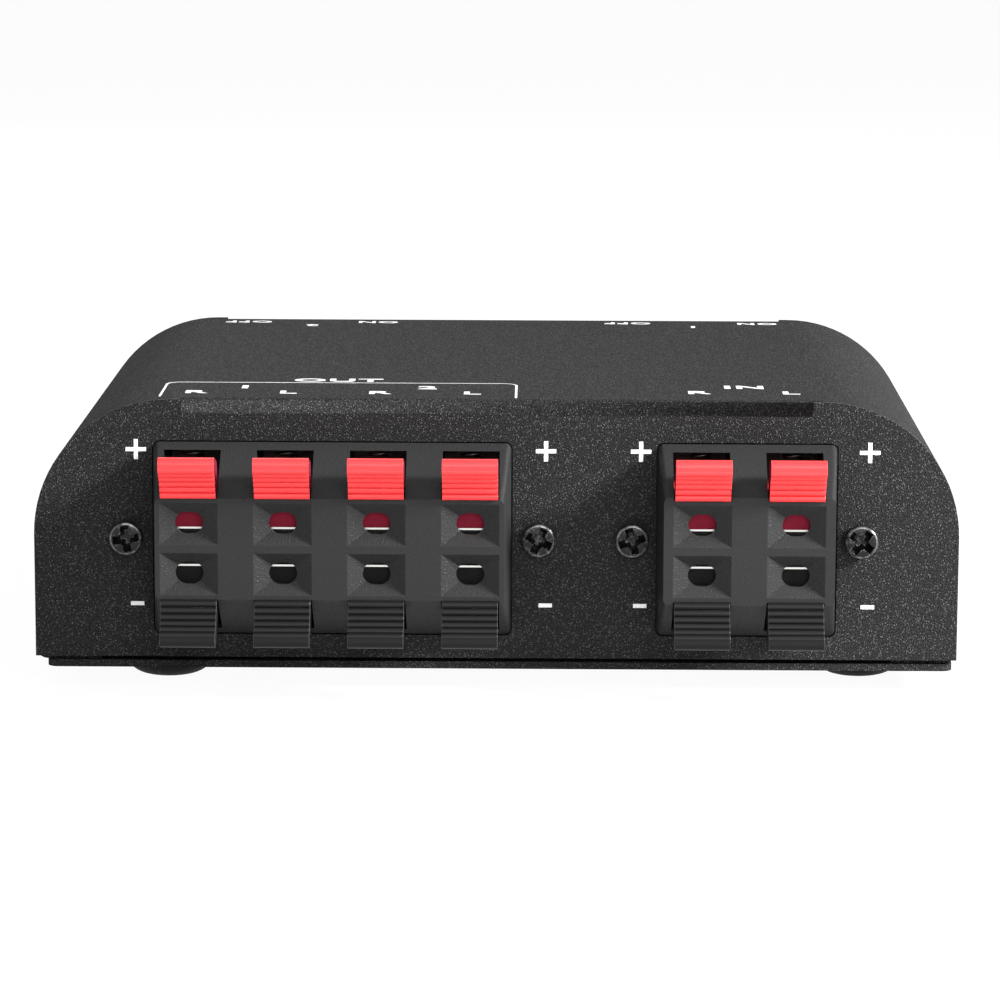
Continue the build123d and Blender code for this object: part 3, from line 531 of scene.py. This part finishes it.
columns = [middle(f"{channel}_plus_lever").x for channel in
           ("pair_1_right", "pair_1_left", "pair_2_right", "pair_2_left", "input_right", "input_left")]
output_words = [printed_word("OUT", sum(columns[:4]) / 4, mark_depth["OUT"], mark_cap["OUT"]),
                printed_word("1", (columns[0] + columns[1]) / 2, mark_depth["pair"], mark_cap["pair"]),
                printed_word("2", (columns[2] + columns[3]) / 2, mark_depth["pair"], mark_cap["pair"])]
output_words += [printed_word(side, x, mark_depth["R L"], mark_cap["R L"])
                 for side, x in zip("RLRL", columns)]
input_words = [printed_word("IN", sum(columns[4:]) / 2, mark_depth["IN"], mark_cap["IN"])]
input_words += [printed_word(side, x, mark_depth["IN R L"], mark_cap["IN R L"])
                for side, x in zip("RL", columns[4:])]
switch_words = []
for number in "12":
    x = middle(f"switch_{number}_frame").x
    switch_words += [
        printed_word(number, x, switch_number_depth, switch_cap, turned=True),
        printed_word("OFF", x - switch_word_offset, switch_word_depth, switch_cap, turned=True),
        printed_word("ON", x + switch_word_offset, switch_word_depth, switch_cap, turned=True)]


def bracket_points():
    """Centre line of the bracket: up on the left, round a corner, across and down on the right."""
    left, right = columns[0] - bracket_reach, columns[3] + bracket_right_reach
    front, back = panel_y + bracket_start, panel_y + bracket_depth
    points = [(left, front)]
    for corner_x, start in ((left + bracket_corner, pi), (right - bracket_corner, pi / 2)):
        for i in range(bracket_bends + 1):
            angle = start - i * pi / (2 * bracket_bends)
            points.append((corner_x + bracket_corner * cos(angle),
                           back - bracket_corner + bracket_corner * sin(angle)))
    return points + [(right, front)]


def printed_bracket():
    """Line of even width along the bracket's centre line."""
    curve = bpy.data.curves.new("bracket", "CURVE")
    curve.dimensions = "3D"
    curve.bevel_depth = bracket_line / 2
    curve.bevel_resolution = 1
    curve.use_fill_caps = True
    points = bracket_points()
    line = curve.splines.new("POLY")
    line.points.add(len(points) - 1)
    for point, (x, y) in zip(line.points, points):
        point.co = (x, y, 0, 1)
    piece = bpy.data.objects.new("bracket", curve)
    bpy.context.scene.collection.objects.link(piece)
    only(piece)
    bpy.ops.object.convert(target="MESH")
    piece = bpy.context.object
    piece.scale.z = ink_rise / bracket_line
    piece.location.z = top_z
    bpy.ops.object.transform_apply(location=True, rotation=True, scale=True)
    return piece


def printed_sign(x, z, arm, crossed):
    """Minus bar on the panel, or a plus when an upright bar crosses it."""
    bpy.ops.object.select_all(action="DESELECT")
    bpy.ops.mesh.primitive_cube_add(size=1, location=(x, panel_y, z), scale=(sign_bar, ink_rise, sign_bar))
    piece = bpy.context.object
    bpy.ops.object.transform_apply(location=True, rotation=True, scale=True)
    bpy.ops.object.mode_set(mode="EDIT")
    ways = [Vector((1, 0, 0)), Vector((-1, 0, 0))]
    if crossed:
        ways += [Vector((0, 0, 1)), Vector((0, 0, -1))]
    for way in ways:
        end = Vector((x, panel_y, z)) + way * sign_bar / 2
        select_faces(piece, lambda face: (face.calc_center_median() - end).length < 0.1 * sign_bar)
        bpy.ops.mesh.extrude_region_move(
            TRANSFORM_OT_translate={"value": way * (arm - sign_bar) / 2})
    bpy.ops.object.mode_set(mode="OBJECT")
    return piece


signs = [printed_sign(x, plus_z, sign_arm, crossed=True) for x in sign_x]
signs += [printed_sign(x, minus_z, minus_arm, crossed=False) for x in sign_x]
printed_group("output_print", output_words + [printed_bracket()])
printed_group("input_print", input_words)
printed_group("switch_print", switch_words)
printed_group("pole_signs", signs)

# ---- Terminal housings: black mouldings ----
# One moulding for each block: a smooth wedge front with a funnel round each wire hole, spark-textured like
# the sloping walls, windows for the levers, and a rim and ears behind the panel.
moulding_dark = (0.013, 0.013, 0.0135, 1)
moulding_light = (0.022, 0.022, 0.0225, 1)
spark_grain = 0.24 * MM
spark_relief = 0.05 * MM
moulding_round = 0.12 * MM
face_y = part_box("output_housing")[0].y
face_polish = 0.12                # share of the texture's depth left on the flat faces
polish_end = 0.01 * MM            # behind the flat faces, where the texture comes in
spark_start = 0.06 * MM


def spark_textured(name, dark, light, relief):
    """Moulded black plastic: smooth on the flat faces furthest out and spark-textured elsewhere."""
    material = pebbled_finish(name, dark, light, spark_grain, relief, roughness=0.44, gloss=0.16)
    tree = material.node_tree
    place = tree.nodes.new("ShaderNodeTexCoord")
    parts = tree.nodes.new("ShaderNodeSeparateXYZ")
    tree.links.new(place.outputs["Object"], parts.inputs["Vector"])
    behind = tree.nodes.new("ShaderNodeMapRange")
    behind.inputs["From Min"].default_value = face_y + polish_end
    behind.inputs["From Max"].default_value = face_y + spark_start
    behind.inputs["To Min"].default_value = face_polish
    behind.inputs["To Max"].default_value = 1.0
    tree.links.new(parts.outputs["Y"], behind.inputs["Value"])
    bump = next(node for node in tree.nodes if node.bl_idname == "ShaderNodeBump")
    depth = tree.nodes.new("ShaderNodeMath")
    depth.operation = "MULTIPLY"
    tree.links.new(bump.inputs["Height"].links[0].from_socket, depth.inputs[0])
    tree.links.new(behind.outputs["Result"], depth.inputs[1])
    tree.links.new(depth.outputs[0], bump.inputs["Height"])
    return material


moulding = spark_textured("black_moulding", moulding_dark, moulding_light, spark_relief)
# Rounded edges of the housings: glossier for their polish, and lighter in colour as a painted highlight.
moulding_edge_highlight = pebbled_finish("polished_edge_highlight", (0.045, 0.045, 0.046, 1), (0.075, 0.075, 0.076, 1),
                               spark_grain, 0.2 * spark_relief, roughness=0.30, gloss=0.5)
rounded("output_housing", "output_block", moulding_round, moulding, crisp=20, edge_material=moulding_edge_highlight)
rounded("input_housing", "input_block", moulding_round, moulding, crisp=20, edge_material=moulding_edge_highlight)

# ---- Contacts: tinned steel strip ----
# Flat strips punched from rolled sheet, one for each wire hole, whose tabs stick out behind the housing.
# Their front edges shine in the wire holes.


def rolled_strip(name, colour_low, colour_high, along, roughness, cut):
    """Rolled metal strip: fine lines along the strip and cloudy handling marks."""
    material = bpy.data.materials.new(name)
    material.use_nodes = True
    tree = material.node_tree
    shader = tree.nodes["Principled BSDF"]
    shader.inputs["Metallic"].default_value = 1.0
    place = tree.nodes.new("ShaderNodeTexCoord")
    stretch = tree.nodes.new("ShaderNodeMapping")
    stretch.inputs["Scale"].default_value = along
    lines = tree.nodes.new("ShaderNodeTexNoise")
    lines.inputs["Scale"].default_value = 1.0
    lines.inputs["Detail"].default_value = 4
    clouds = tree.nodes.new("ShaderNodeTexNoise")
    clouds.inputs["Scale"].default_value = 400
    tree.links.new(place.outputs["Object"], stretch.inputs["Vector"])
    tree.links.new(stretch.outputs["Vector"], lines.inputs["Vector"])
    tree.links.new(place.outputs["Object"], clouds.inputs["Vector"])
    colour = tree.nodes.new("ShaderNodeMix")
    colour.data_type = "RGBA"
    colour.inputs["A"].default_value = colour_low
    colour.inputs["B"].default_value = colour_high
    tree.links.new(clouds.outputs["Fac"], colour.inputs["Factor"])
    tree.links.new(colour.outputs["Result"], shader.inputs["Base Color"])
    rough = tree.nodes.new("ShaderNodeMapRange")
    rough.inputs["To Min"].default_value = roughness - 0.08
    rough.inputs["To Max"].default_value = roughness + 0.12
    tree.links.new(lines.outputs["Fac"], rough.inputs["Value"])
    tree.links.new(rough.outputs["Result"], shader.inputs["Roughness"])
    bump = tree.nodes.new("ShaderNodeBump")
    bump.inputs["Distance"].default_value = cut
    tree.links.new(lines.outputs["Fac"], bump.inputs["Height"])
    tree.links.new(bump.outputs["Normal"], shader.inputs["Normal"])
    return material


tinned = rolled_strip("tinned_strip", (0.62, 0.61, 0.58, 1), (0.82, 0.81, 0.79, 1), (6000, 300, 6000), 0.28,
                      0.004 * MM)
for node in ("output_contacts", "input_contacts"):
    wear(nodes[node], tinned)

# ---- Coil springs: oiled spring steel ----
# Round wire wound into short coils and oiled against rust: one bears on each lever's arm inside its housing,
# and one sits behind each plunger of the switches.
oiled_wire = rolled_strip("oiled_spring_steel", (0.030, 0.028, 0.027, 1), (0.085, 0.082, 0.080, 1),
                          (5000, 5000, 1500), 0.34, 0.003 * MM)
for name in nodes:
    if name.endswith("_spring") or name.endswith("_plunger_springs"):
        wear(nodes[name], oiled_wire)

# ---- Push levers: satin red and black mouldings ----
# Each lever has a smooth round nose, a hollow of fine ribs for the thumb, and a shutter that closes the wire
# hole from behind. It turns on pins in the housing. Plus levers are red and minus levers are black.
lever_edge = 0.07 * MM
lever_grain = 0.16 * MM
lever_relief = 0.006 * MM
shutter_depth = 0.6 * MM          # deeper than this behind the housing's face the levers get a painted shade, darker and without gloss


def satin_plastic(name, colour, shade, roughness, gloss):
    """Moulded plastic with a fine satin grain, a little darker in the grain's dips."""
    material = bpy.data.materials.new(name)
    material.use_nodes = True
    tree = material.node_tree
    shader = tree.nodes["Principled BSDF"]
    shader.inputs["Specular IOR Level"].default_value = gloss
    grains = tree.nodes.new("ShaderNodeGroup")
    grains.node_tree = pebbles
    grains.inputs["Size"].default_value = lever_grain
    mixed = tree.nodes.new("ShaderNodeMix")
    mixed.data_type = "RGBA"
    mixed.inputs["A"].default_value = shade
    mixed.inputs["B"].default_value = colour
    lift = tree.nodes.new("ShaderNodeMapRange")
    lift.inputs["To Min"].default_value = 0.7
    lift.inputs["To Max"].default_value = 1.0
    tree.links.new(grains.outputs["Height"], lift.inputs["Value"])
    tree.links.new(lift.outputs["Result"], mixed.inputs["Factor"])
    tree.links.new(mixed.outputs["Result"], shader.inputs["Base Color"])
    rough = tree.nodes.new("ShaderNodeMapRange")
    rough.inputs["To Min"].default_value = roughness + 0.05
    rough.inputs["To Max"].default_value = roughness - 0.05
    tree.links.new(grains.outputs["Height"], rough.inputs["Value"])
    tree.links.new(rough.outputs["Result"], shader.inputs["Roughness"])
    bump = tree.nodes.new("ShaderNodeBump")
    bump.inputs["Distance"].default_value = lever_relief
    tree.links.new(grains.outputs["Height"], bump.inputs["Height"])
    tree.links.new(bump.outputs["Normal"], shader.inputs["Normal"])
    return material


# For each pole: the satin plastic; a glossier, lighter one for the rounded edges, whose lighter colour is a
# painted highlight; and a dark, dull one for the faces deep in the housing, which is a painted shade.
lever_plastic = {
    "plus": (satin_plastic("red_satin", (0.74, 0.028, 0.030, 1), (0.48, 0.012, 0.018, 1), 0.36, 0.40),
             satin_plastic("red_edge_highlight", (0.90, 0.10, 0.09, 1), (0.70, 0.04, 0.05, 1), 0.28, 0.6),
             satin_plastic("red_painted_shade", (0.13, 0.008, 0.019, 1), (0.10, 0.006, 0.015, 1), 0.8, 0.05)),
    "minus": (satin_plastic("black_satin", (0.008, 0.008, 0.0083, 1), (0.004, 0.004, 0.0042, 1), 0.36, 0.12),
              satin_plastic("black_edge_highlight", (0.12, 0.12, 0.12, 1), (0.05, 0.05, 0.05, 1), 0.28, 0.5),
              satin_plastic("black_painted_shade", (0.008, 0.008, 0.008, 1), (0.005, 0.005, 0.005, 1), 0.8,
                            0.05)),
}
for channel in ("pair_1_right", "pair_1_left", "pair_2_right", "pair_2_left", "input_right", "input_left"):
    for pole, (polished, edge_highlight, shutter_shade) in lever_plastic.items():
        tab = rounded(f"{channel}_{pole}_lever", f"{channel}_{pole}_tab", lever_edge, polished,
                      edge_material=edge_highlight)
        tab.data.materials.append(shutter_shade)
        # Faces deep behind the housing's face wear the painted shade, dark and dull.
        for face in tab.data.polygons:
            if face.center.y > face_y + shutter_depth and abs(face.normal.z) < 0.9:
                face.material_index = 2

# ---- Back boards: phenolic paper ----
# Dark brown insulating boards, punched from laminated sheet. Each closes the back of a housing, whose stakes
# are spread over it, and the contacts' tabs stand through its slots.


def layered_paper():
    """Brown laminate with paper fibres in the face."""
    material = bpy.data.materials.new("phenolic_paper")
    material.use_nodes = True
    tree = material.node_tree
    shader = tree.nodes["Principled BSDF"]
    place = tree.nodes.new("ShaderNodeTexCoord")
    stretch = tree.nodes.new("ShaderNodeMapping")
    stretch.inputs["Scale"].default_value = (300, 2500, 900)
    fibres = tree.nodes.new("ShaderNodeTexNoise")
    fibres.inputs["Scale"].default_value = 1.0
    fibres.inputs["Detail"].default_value = 5
    tree.links.new(place.outputs["Object"], stretch.inputs["Vector"])
    tree.links.new(stretch.outputs["Vector"], fibres.inputs["Vector"])
    colour = tree.nodes.new("ShaderNodeValToRGB")
    colour.color_ramp.elements[0].position = 0.3
    colour.color_ramp.elements[0].color = (0.020, 0.011, 0.006, 1)
    colour.color_ramp.elements[1].position = 0.7
    colour.color_ramp.elements[1].color = (0.060, 0.034, 0.018, 1)
    tree.links.new(fibres.outputs["Fac"], colour.inputs["Fac"])
    tree.links.new(colour.outputs["Color"], shader.inputs["Base Color"])
    rough = tree.nodes.new("ShaderNodeMapRange")
    rough.inputs["To Min"].default_value = 0.4
    rough.inputs["To Max"].default_value = 0.6
    tree.links.new(fibres.outputs["Fac"], rough.inputs["Value"])
    tree.links.new(rough.outputs["Result"], shader.inputs["Roughness"])
    bump = tree.nodes.new("ShaderNodeBump")
    bump.inputs["Distance"].default_value = 0.01 * MM
    tree.links.new(fibres.outputs["Fac"], bump.inputs["Height"])
    tree.links.new(bump.outputs["Normal"], shader.inputs["Normal"])
    return material


phenolic = layered_paper()
for node in ("output_back_board", "input_back_board"):
    wear(nodes[node], phenolic)

# ---- Block screws: black cross-head pan screws ----
# Turned and blackened steel with a rolled thread and a deep cross recess. Its worn edges are bare and painted
# lighter as a glint, and its rubbed rim is painted lighter as a reflection. Four of them hold the ears of
# both terminal blocks to the panel.
screw_black = (0.020, 0.020, 0.021, 1)
screw_bare = (0.16, 0.16, 0.165, 1)
# worn bare edges, so light that they are also a painted glint
screw_worn_glint = (0.80, 0.80, 0.80, 1)
# rubbed rim, lighter also as a painted reflection
screw_rubbed_and_sheen = (0.22, 0.22, 0.22, 1)
recess_reach = 1.18               # shares of the head's radius
recess_half_width = 0.36
recess_corner = 0.92              # diamond in the middle of the cross, its points along the arms
recess_arm_depth = 3.0            # of the head's height, half above the head and half below its top
recess_middle_depth = 2.8
recess_floor_share = 0.35         # the floor's size over the mouth's
thread_pitch = 0.8 * MM
thread_depth = 0.12               # share of the shank's radius
head_sides = 40
crown_inset, crown_rise = 0.45, 0.06   # of the head's radius and of its height
rim_round = 0.2                   # of the head's height
edge_round = 0.08                 # of the head's radius
steel_patches = 1800              # per metre
block_head_spread = 1.13          # wider than the plain head, for its rounded rim
block_shank_radius = 1.1 * MM
block_screw_twists = (8, -24, 16, -38)   # degrees, as each was left by the driver


def blackened_steel(name, black, bare, worn_from, worn_to, metallic):
    """Blackened steel, patchy, in places thin enough for the bare metal to glint through."""
    material = bpy.data.materials.new(name)
    material.use_nodes = True
    tree = material.node_tree
    shader = tree.nodes["Principled BSDF"]
    shader.inputs["Metallic"].default_value = metallic
    place = tree.nodes.new("ShaderNodeTexCoord")
    patches = tree.nodes.new("ShaderNodeTexNoise")
    patches.inputs["Scale"].default_value = steel_patches
    patches.inputs["Detail"].default_value = 3
    tree.links.new(place.outputs["Object"], patches.inputs["Vector"])
    thin = tree.nodes.new("ShaderNodeMapRange")
    thin.inputs["From Min"].default_value = worn_from
    thin.inputs["From Max"].default_value = worn_to
    tree.links.new(patches.outputs["Fac"], thin.inputs["Value"])
    colour = tree.nodes.new("ShaderNodeMix")
    colour.data_type = "RGBA"
    colour.inputs["A"].default_value = black
    colour.inputs["B"].default_value = bare
    tree.links.new(thin.outputs["Result"], colour.inputs["Factor"])
    tree.links.new(colour.outputs["Result"], shader.inputs["Base Color"])
    rough = tree.nodes.new("ShaderNodeMapRange")
    rough.inputs["To Min"].default_value = 0.22
    rough.inputs["To Max"].default_value = 0.42
    tree.links.new(patches.outputs["Fac"], rough.inputs["Value"])
    tree.links.new(rough.outputs["Result"], shader.inputs["Roughness"])
    bump = tree.nodes.new("ShaderNodeBump")
    bump.inputs["Distance"].default_value = 0.006 * MM
    tree.links.new(patches.outputs["Fac"], bump.inputs["Height"])
    tree.links.new(bump.outputs["Normal"], shader.inputs["Normal"])
    return material


def recess_cutter(head_radius, head_height):
    """Cross with a diamond in its middle, narrower towards its floor."""
    parts = []
    for arm_x, arm_y in ((recess_reach, recess_half_width), (recess_half_width, recess_reach)):
        bpy.ops.mesh.primitive_cube_add(size=1, location=(0, 0, head_height), scale=(
            2 * arm_x * head_radius, 2 * arm_y * head_radius, recess_arm_depth * head_height))
        parts.append(bpy.context.object)
    bpy.ops.mesh.primitive_cylinder_add(vertices=4, radius=recess_corner * head_radius,
                                        depth=recess_middle_depth * head_height,
                                        location=(0, 0, head_height))
    parts.append(bpy.context.object)
    for part in parts:
        only(part)
        bpy.ops.object.transform_apply(location=True, rotation=True, scale=True)
        bpy.ops.object.mode_set(mode="EDIT")
        select_faces(part, lambda face: face.normal.z < -0.9)
        bpy.ops.transform.resize(value=(recess_floor_share, recess_floor_share, 1),
                                 center_override=(0, 0, 0))
        bpy.ops.object.mode_set(mode="OBJECT")
    return parts


def cross_head_screw(name, head_radius, head_height, shank_radius, length):
    """Pan-head screw along Z, its head above 0 and its thread below."""
    bpy.ops.object.select_all(action="DESELECT")
    bpy.ops.mesh.primitive_cylinder_add(vertices=head_sides, radius=head_radius, depth=head_height,
                                        location=(0, 0, head_height / 2))
    piece = bpy.context.object
    piece.name = name
    for steel in screw_steels:
        piece.data.materials.append(steel)
    bpy.ops.object.transform_apply(location=True, rotation=True, scale=True)
    bpy.ops.object.mode_set(mode="EDIT")
    select_faces(piece, lambda face: face.normal.z > 0.9)
    bpy.ops.mesh.inset(thickness=crown_inset * head_radius)
    bpy.ops.transform.translate(value=(0, 0, crown_rise * head_height))
    select_faces(piece, lambda face: face.normal.z < -0.9)
    bpy.ops.mesh.inset(thickness=head_radius - shank_radius)
    for _ in range(int(length / thread_pitch)):
        for outwards in (1 - thread_depth, 1 / (1 - thread_depth)):
            bpy.ops.mesh.extrude_region_move(
                TRANSFORM_OT_translate={"value": (0, 0, -thread_pitch / 2)})
            bpy.ops.transform.resize(value=(outwards, outwards, 1))
    bpy.ops.object.mode_set(mode="OBJECT")
    bpy.ops.object.shade_smooth()
    rim = piece.modifiers.new("rim", "BEVEL")
    rim.material = 2                  # rubbed, and lighter as a painted reflection of the rounded rim
    rim.width = rim_round * head_height
    rim.segments = 4
    rim.limit_method = "ANGLE"
    rim.angle_limit = radians(60)
    bpy.ops.object.modifier_apply(modifier="rim")
    for cutter in recess_cutter(head_radius, head_height):
        cut = piece.modifiers.new("recess", "BOOLEAN")
        cut.operation = "DIFFERENCE"
        cut.object = cutter
        cut.solver = "EXACT"
        only(piece)
        bpy.ops.object.modifier_apply(modifier="recess")
        bpy.data.objects.remove(cutter)
    edge = piece.modifiers.new("edge", "BEVEL")
    edge.material = 1                 # worn bare, and lighter as a painted glint
    edge.width = edge_round * head_radius
    edge.segments = 2
    edge.limit_method = "ANGLE"
    edge.angle_limit = radians(28)
    bpy.ops.object.modifier_apply(modifier="edge")
    bpy.ops.object.shade_smooth_by_angle(angle=radians(35))
    return piece


def screw_set(node, name, head_radius, head_height, shank_radius, length, places, turn, twists):
    """Copies of one screw at its places, joined into the piece that is shown for the node."""
    first = cross_head_screw(name, head_radius, head_height, shank_radius, length)
    copies = []
    for place, twist in zip(places, twists):
        copy = bpy.data.objects.new(name, first.data.copy())
        bpy.context.scene.collection.objects.link(copy)
        copy.data.transform(Matrix.Translation(place) @ turn @ Matrix.Rotation(radians(twist), 4, "Z"))
        copies.append(copy)
    bpy.data.objects.remove(first)
    bpy.ops.object.select_all(action="DESELECT")
    for copy in copies:
        copy.select_set(True)
    bpy.context.view_layer.objects.active = copies[0]
    bpy.ops.object.join()
    piece = bpy.context.object
    piece.name = name
    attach(piece, nodes[node]["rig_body"])
    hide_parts(node)
    return piece


def islands(node):
    """Middle, lowest and highest corner of each separate solid of a piece, from left to right."""
    shape = bmesh.new()
    shape.from_mesh(nodes[node].data)
    bmesh.ops.remove_doubles(shape, verts=shape.verts, dist=weld_distance)
    found = []
    left = set(shape.verts)
    while left:
        edge_of_search = [left.pop()]
        corners = []
        while edge_of_search:
            vertex = edge_of_search.pop()
            corners.append(vertex.co.copy())
            for edge in vertex.link_edges:
                other = edge.other_vert(vertex)
                if other in left:
                    left.remove(other)
                    edge_of_search.append(other)
        low = Vector(min(corner[i] for corner in corners) for i in range(3))
        high = Vector(max(corner[i] for corner in corners) for i in range(3))
        found.append(((low + high) / 2, low, high))
    shape.free()
    return sorted(found, key=lambda solid: (round(solid[0].x, 5), solid[0].y))


screw_steels = (blackened_steel("blackened_steel", screw_black, screw_bare, 0.55, 0.85, 0.85),
                blackened_steel("worn_steel_and_glint", screw_bare, screw_worn_glint, 0.30, 0.60, 0.7),
                blackened_steel("rubbed_steel_and_sheen", screw_black, screw_rubbed_and_sheen, 0.30, 0.70, 0.85))
heads = islands("terminal_screws")
_, low, high = heads[0]
screw_set("terminal_screws", "block_screws", block_head_spread * (high.x - low.x) / 2, panel_y - low.y,
          block_shank_radius, high.y - panel_y,
          [Vector((centre.x, panel_y, centre.z)) for centre, _, _ in heads],
          Matrix.Rotation(radians(90), 4, "X"), block_screw_twists)

# ---- Rocker switches: glossy black mouldings and brass strip ----
# A frame that snaps into the panel, a two-winged rocker with a shallow valley, both polished, and round-nosed
# plungers that push the see-saw blades from inside. Blades and lugs are plain brass.
bezel_round = 0.12 * MM
paddle_round = 0.18 * MM

switch_plastic = pebbled_finish("polished_moulding", (0.010, 0.010, 0.0105, 1), (0.016, 0.016, 0.0165, 1),
                                0.5 * MM, 0.003 * MM, roughness=0.24, gloss=0.5)
brass = rolled_strip("brass_strip", (0.50, 0.34, 0.12, 1), (0.74, 0.54, 0.24, 1), (300, 6000, 6000), 0.3,
                     0.004 * MM)
for number in "12":
    rounded(f"switch_{number}_frame", f"switch_{number}_bezel", bezel_round, switch_plastic)
    rounded(f"switch_{number}_rocker", f"switch_{number}_paddle", paddle_round, switch_plastic, segments=3)
    wear(nodes[f"switch_{number}_plungers"], switch_plastic)
    wear(nodes[f"switch_{number}_lugs"], brass)
    wear(nodes[f"switch_{number}_blades"], brass)

# ---- Wiring: insulated stranded wire ----
# Stranded copper in extruded PVC, slightly uneven from the extruder and soldered to tabs and lugs. Red wires
# run through the switches and black ones are the returns.


def insulation(name, colour, shade):
    """Extruded PVC: slow swellings, a soft gloss and a faint cloud in the colour."""
    material = bpy.data.materials.new(name)
    material.use_nodes = True
    tree = material.node_tree
    shader = tree.nodes["Principled BSDF"]
    place = tree.nodes.new("ShaderNodeTexCoord")
    cloud = tree.nodes.new("ShaderNodeTexNoise")
    cloud.inputs["Scale"].default_value = 350
    cloud.inputs["Detail"].default_value = 3
    tree.links.new(place.outputs["Object"], cloud.inputs["Vector"])
    mixed = tree.nodes.new("ShaderNodeMix")
    mixed.data_type = "RGBA"
    mixed.inputs["A"].default_value = shade
    mixed.inputs["B"].default_value = colour
    tree.links.new(cloud.outputs["Fac"], mixed.inputs["Factor"])
    tree.links.new(mixed.outputs["Result"], shader.inputs["Base Color"])
    rough = tree.nodes.new("ShaderNodeMapRange")
    rough.inputs["To Min"].default_value = 0.32
    rough.inputs["To Max"].default_value = 0.48
    tree.links.new(cloud.outputs["Fac"], rough.inputs["Value"])
    tree.links.new(rough.outputs["Result"], shader.inputs["Roughness"])
    bump = tree.nodes.new("ShaderNodeBump")
    bump.inputs["Distance"].default_value = 0.02 * MM
    tree.links.new(cloud.outputs["Fac"], bump.inputs["Height"])
    tree.links.new(bump.outputs["Normal"], shader.inputs["Normal"])
    return material


red_pvc = insulation("red_pvc", (0.55, 0.02, 0.02, 1), (0.42, 0.012, 0.014, 1))
black_pvc = insulation("black_pvc", (0.018, 0.018, 0.018, 1), (0.010, 0.010, 0.010, 1))
for node in ("pair_1_wires", "pair_2_wires", "amplifier_wires"):
    wear(nodes[node], red_pvc)
wear(nodes["return_wires"], black_pvc)

# ---- Bottom plate: powder-coated steel ----
# A flat sheet, cut with rounded corners and coated like the cover. It goes on last, with a thin shadow gap
# to both panels, and four larger screws of the same kind draw it up to the cover's flanges.
plate_shank_radius = 1.5 * MM
plate_screw_twists = (5, 40, -12, 22)

rounded("bottom_plate", "base_plate", coat_edge, powder_coat)
heads = islands("bottom_screws")
_, low, high = heads[0]
plate_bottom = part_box("bottom_plate")[0].z
screw_set("bottom_screws", "plate_screws", (high.x - low.x) / 2, plate_bottom - low.z, plate_shank_radius,
          high.z - plate_bottom, [Vector((centre.x, centre.y, plate_bottom)) for centre, _, _ in heads],
          Matrix.Rotation(radians(180), 4, "X"), plate_screw_twists)

# ---- Feet: rubber bumpers ----
# Four domed black rubber feet, moulded, with a soft bloom on the surface. Each is stuck by its flat side
# under a corner of the plate.
rubber_grain = 0.6 * MM
rubber_relief = 0.012 * MM
foot_edge = 0.25 * MM

rubber = pebbled_finish("black_rubber", (0.010, 0.010, 0.010, 1), (0.022, 0.021, 0.020, 1), rubber_grain,
                        rubber_relief, roughness=0.62, gloss=0.12)
rounded("feet", "rubber_feet", foot_edge, rubber, segments=3)

bpy.context.view_layer.update()
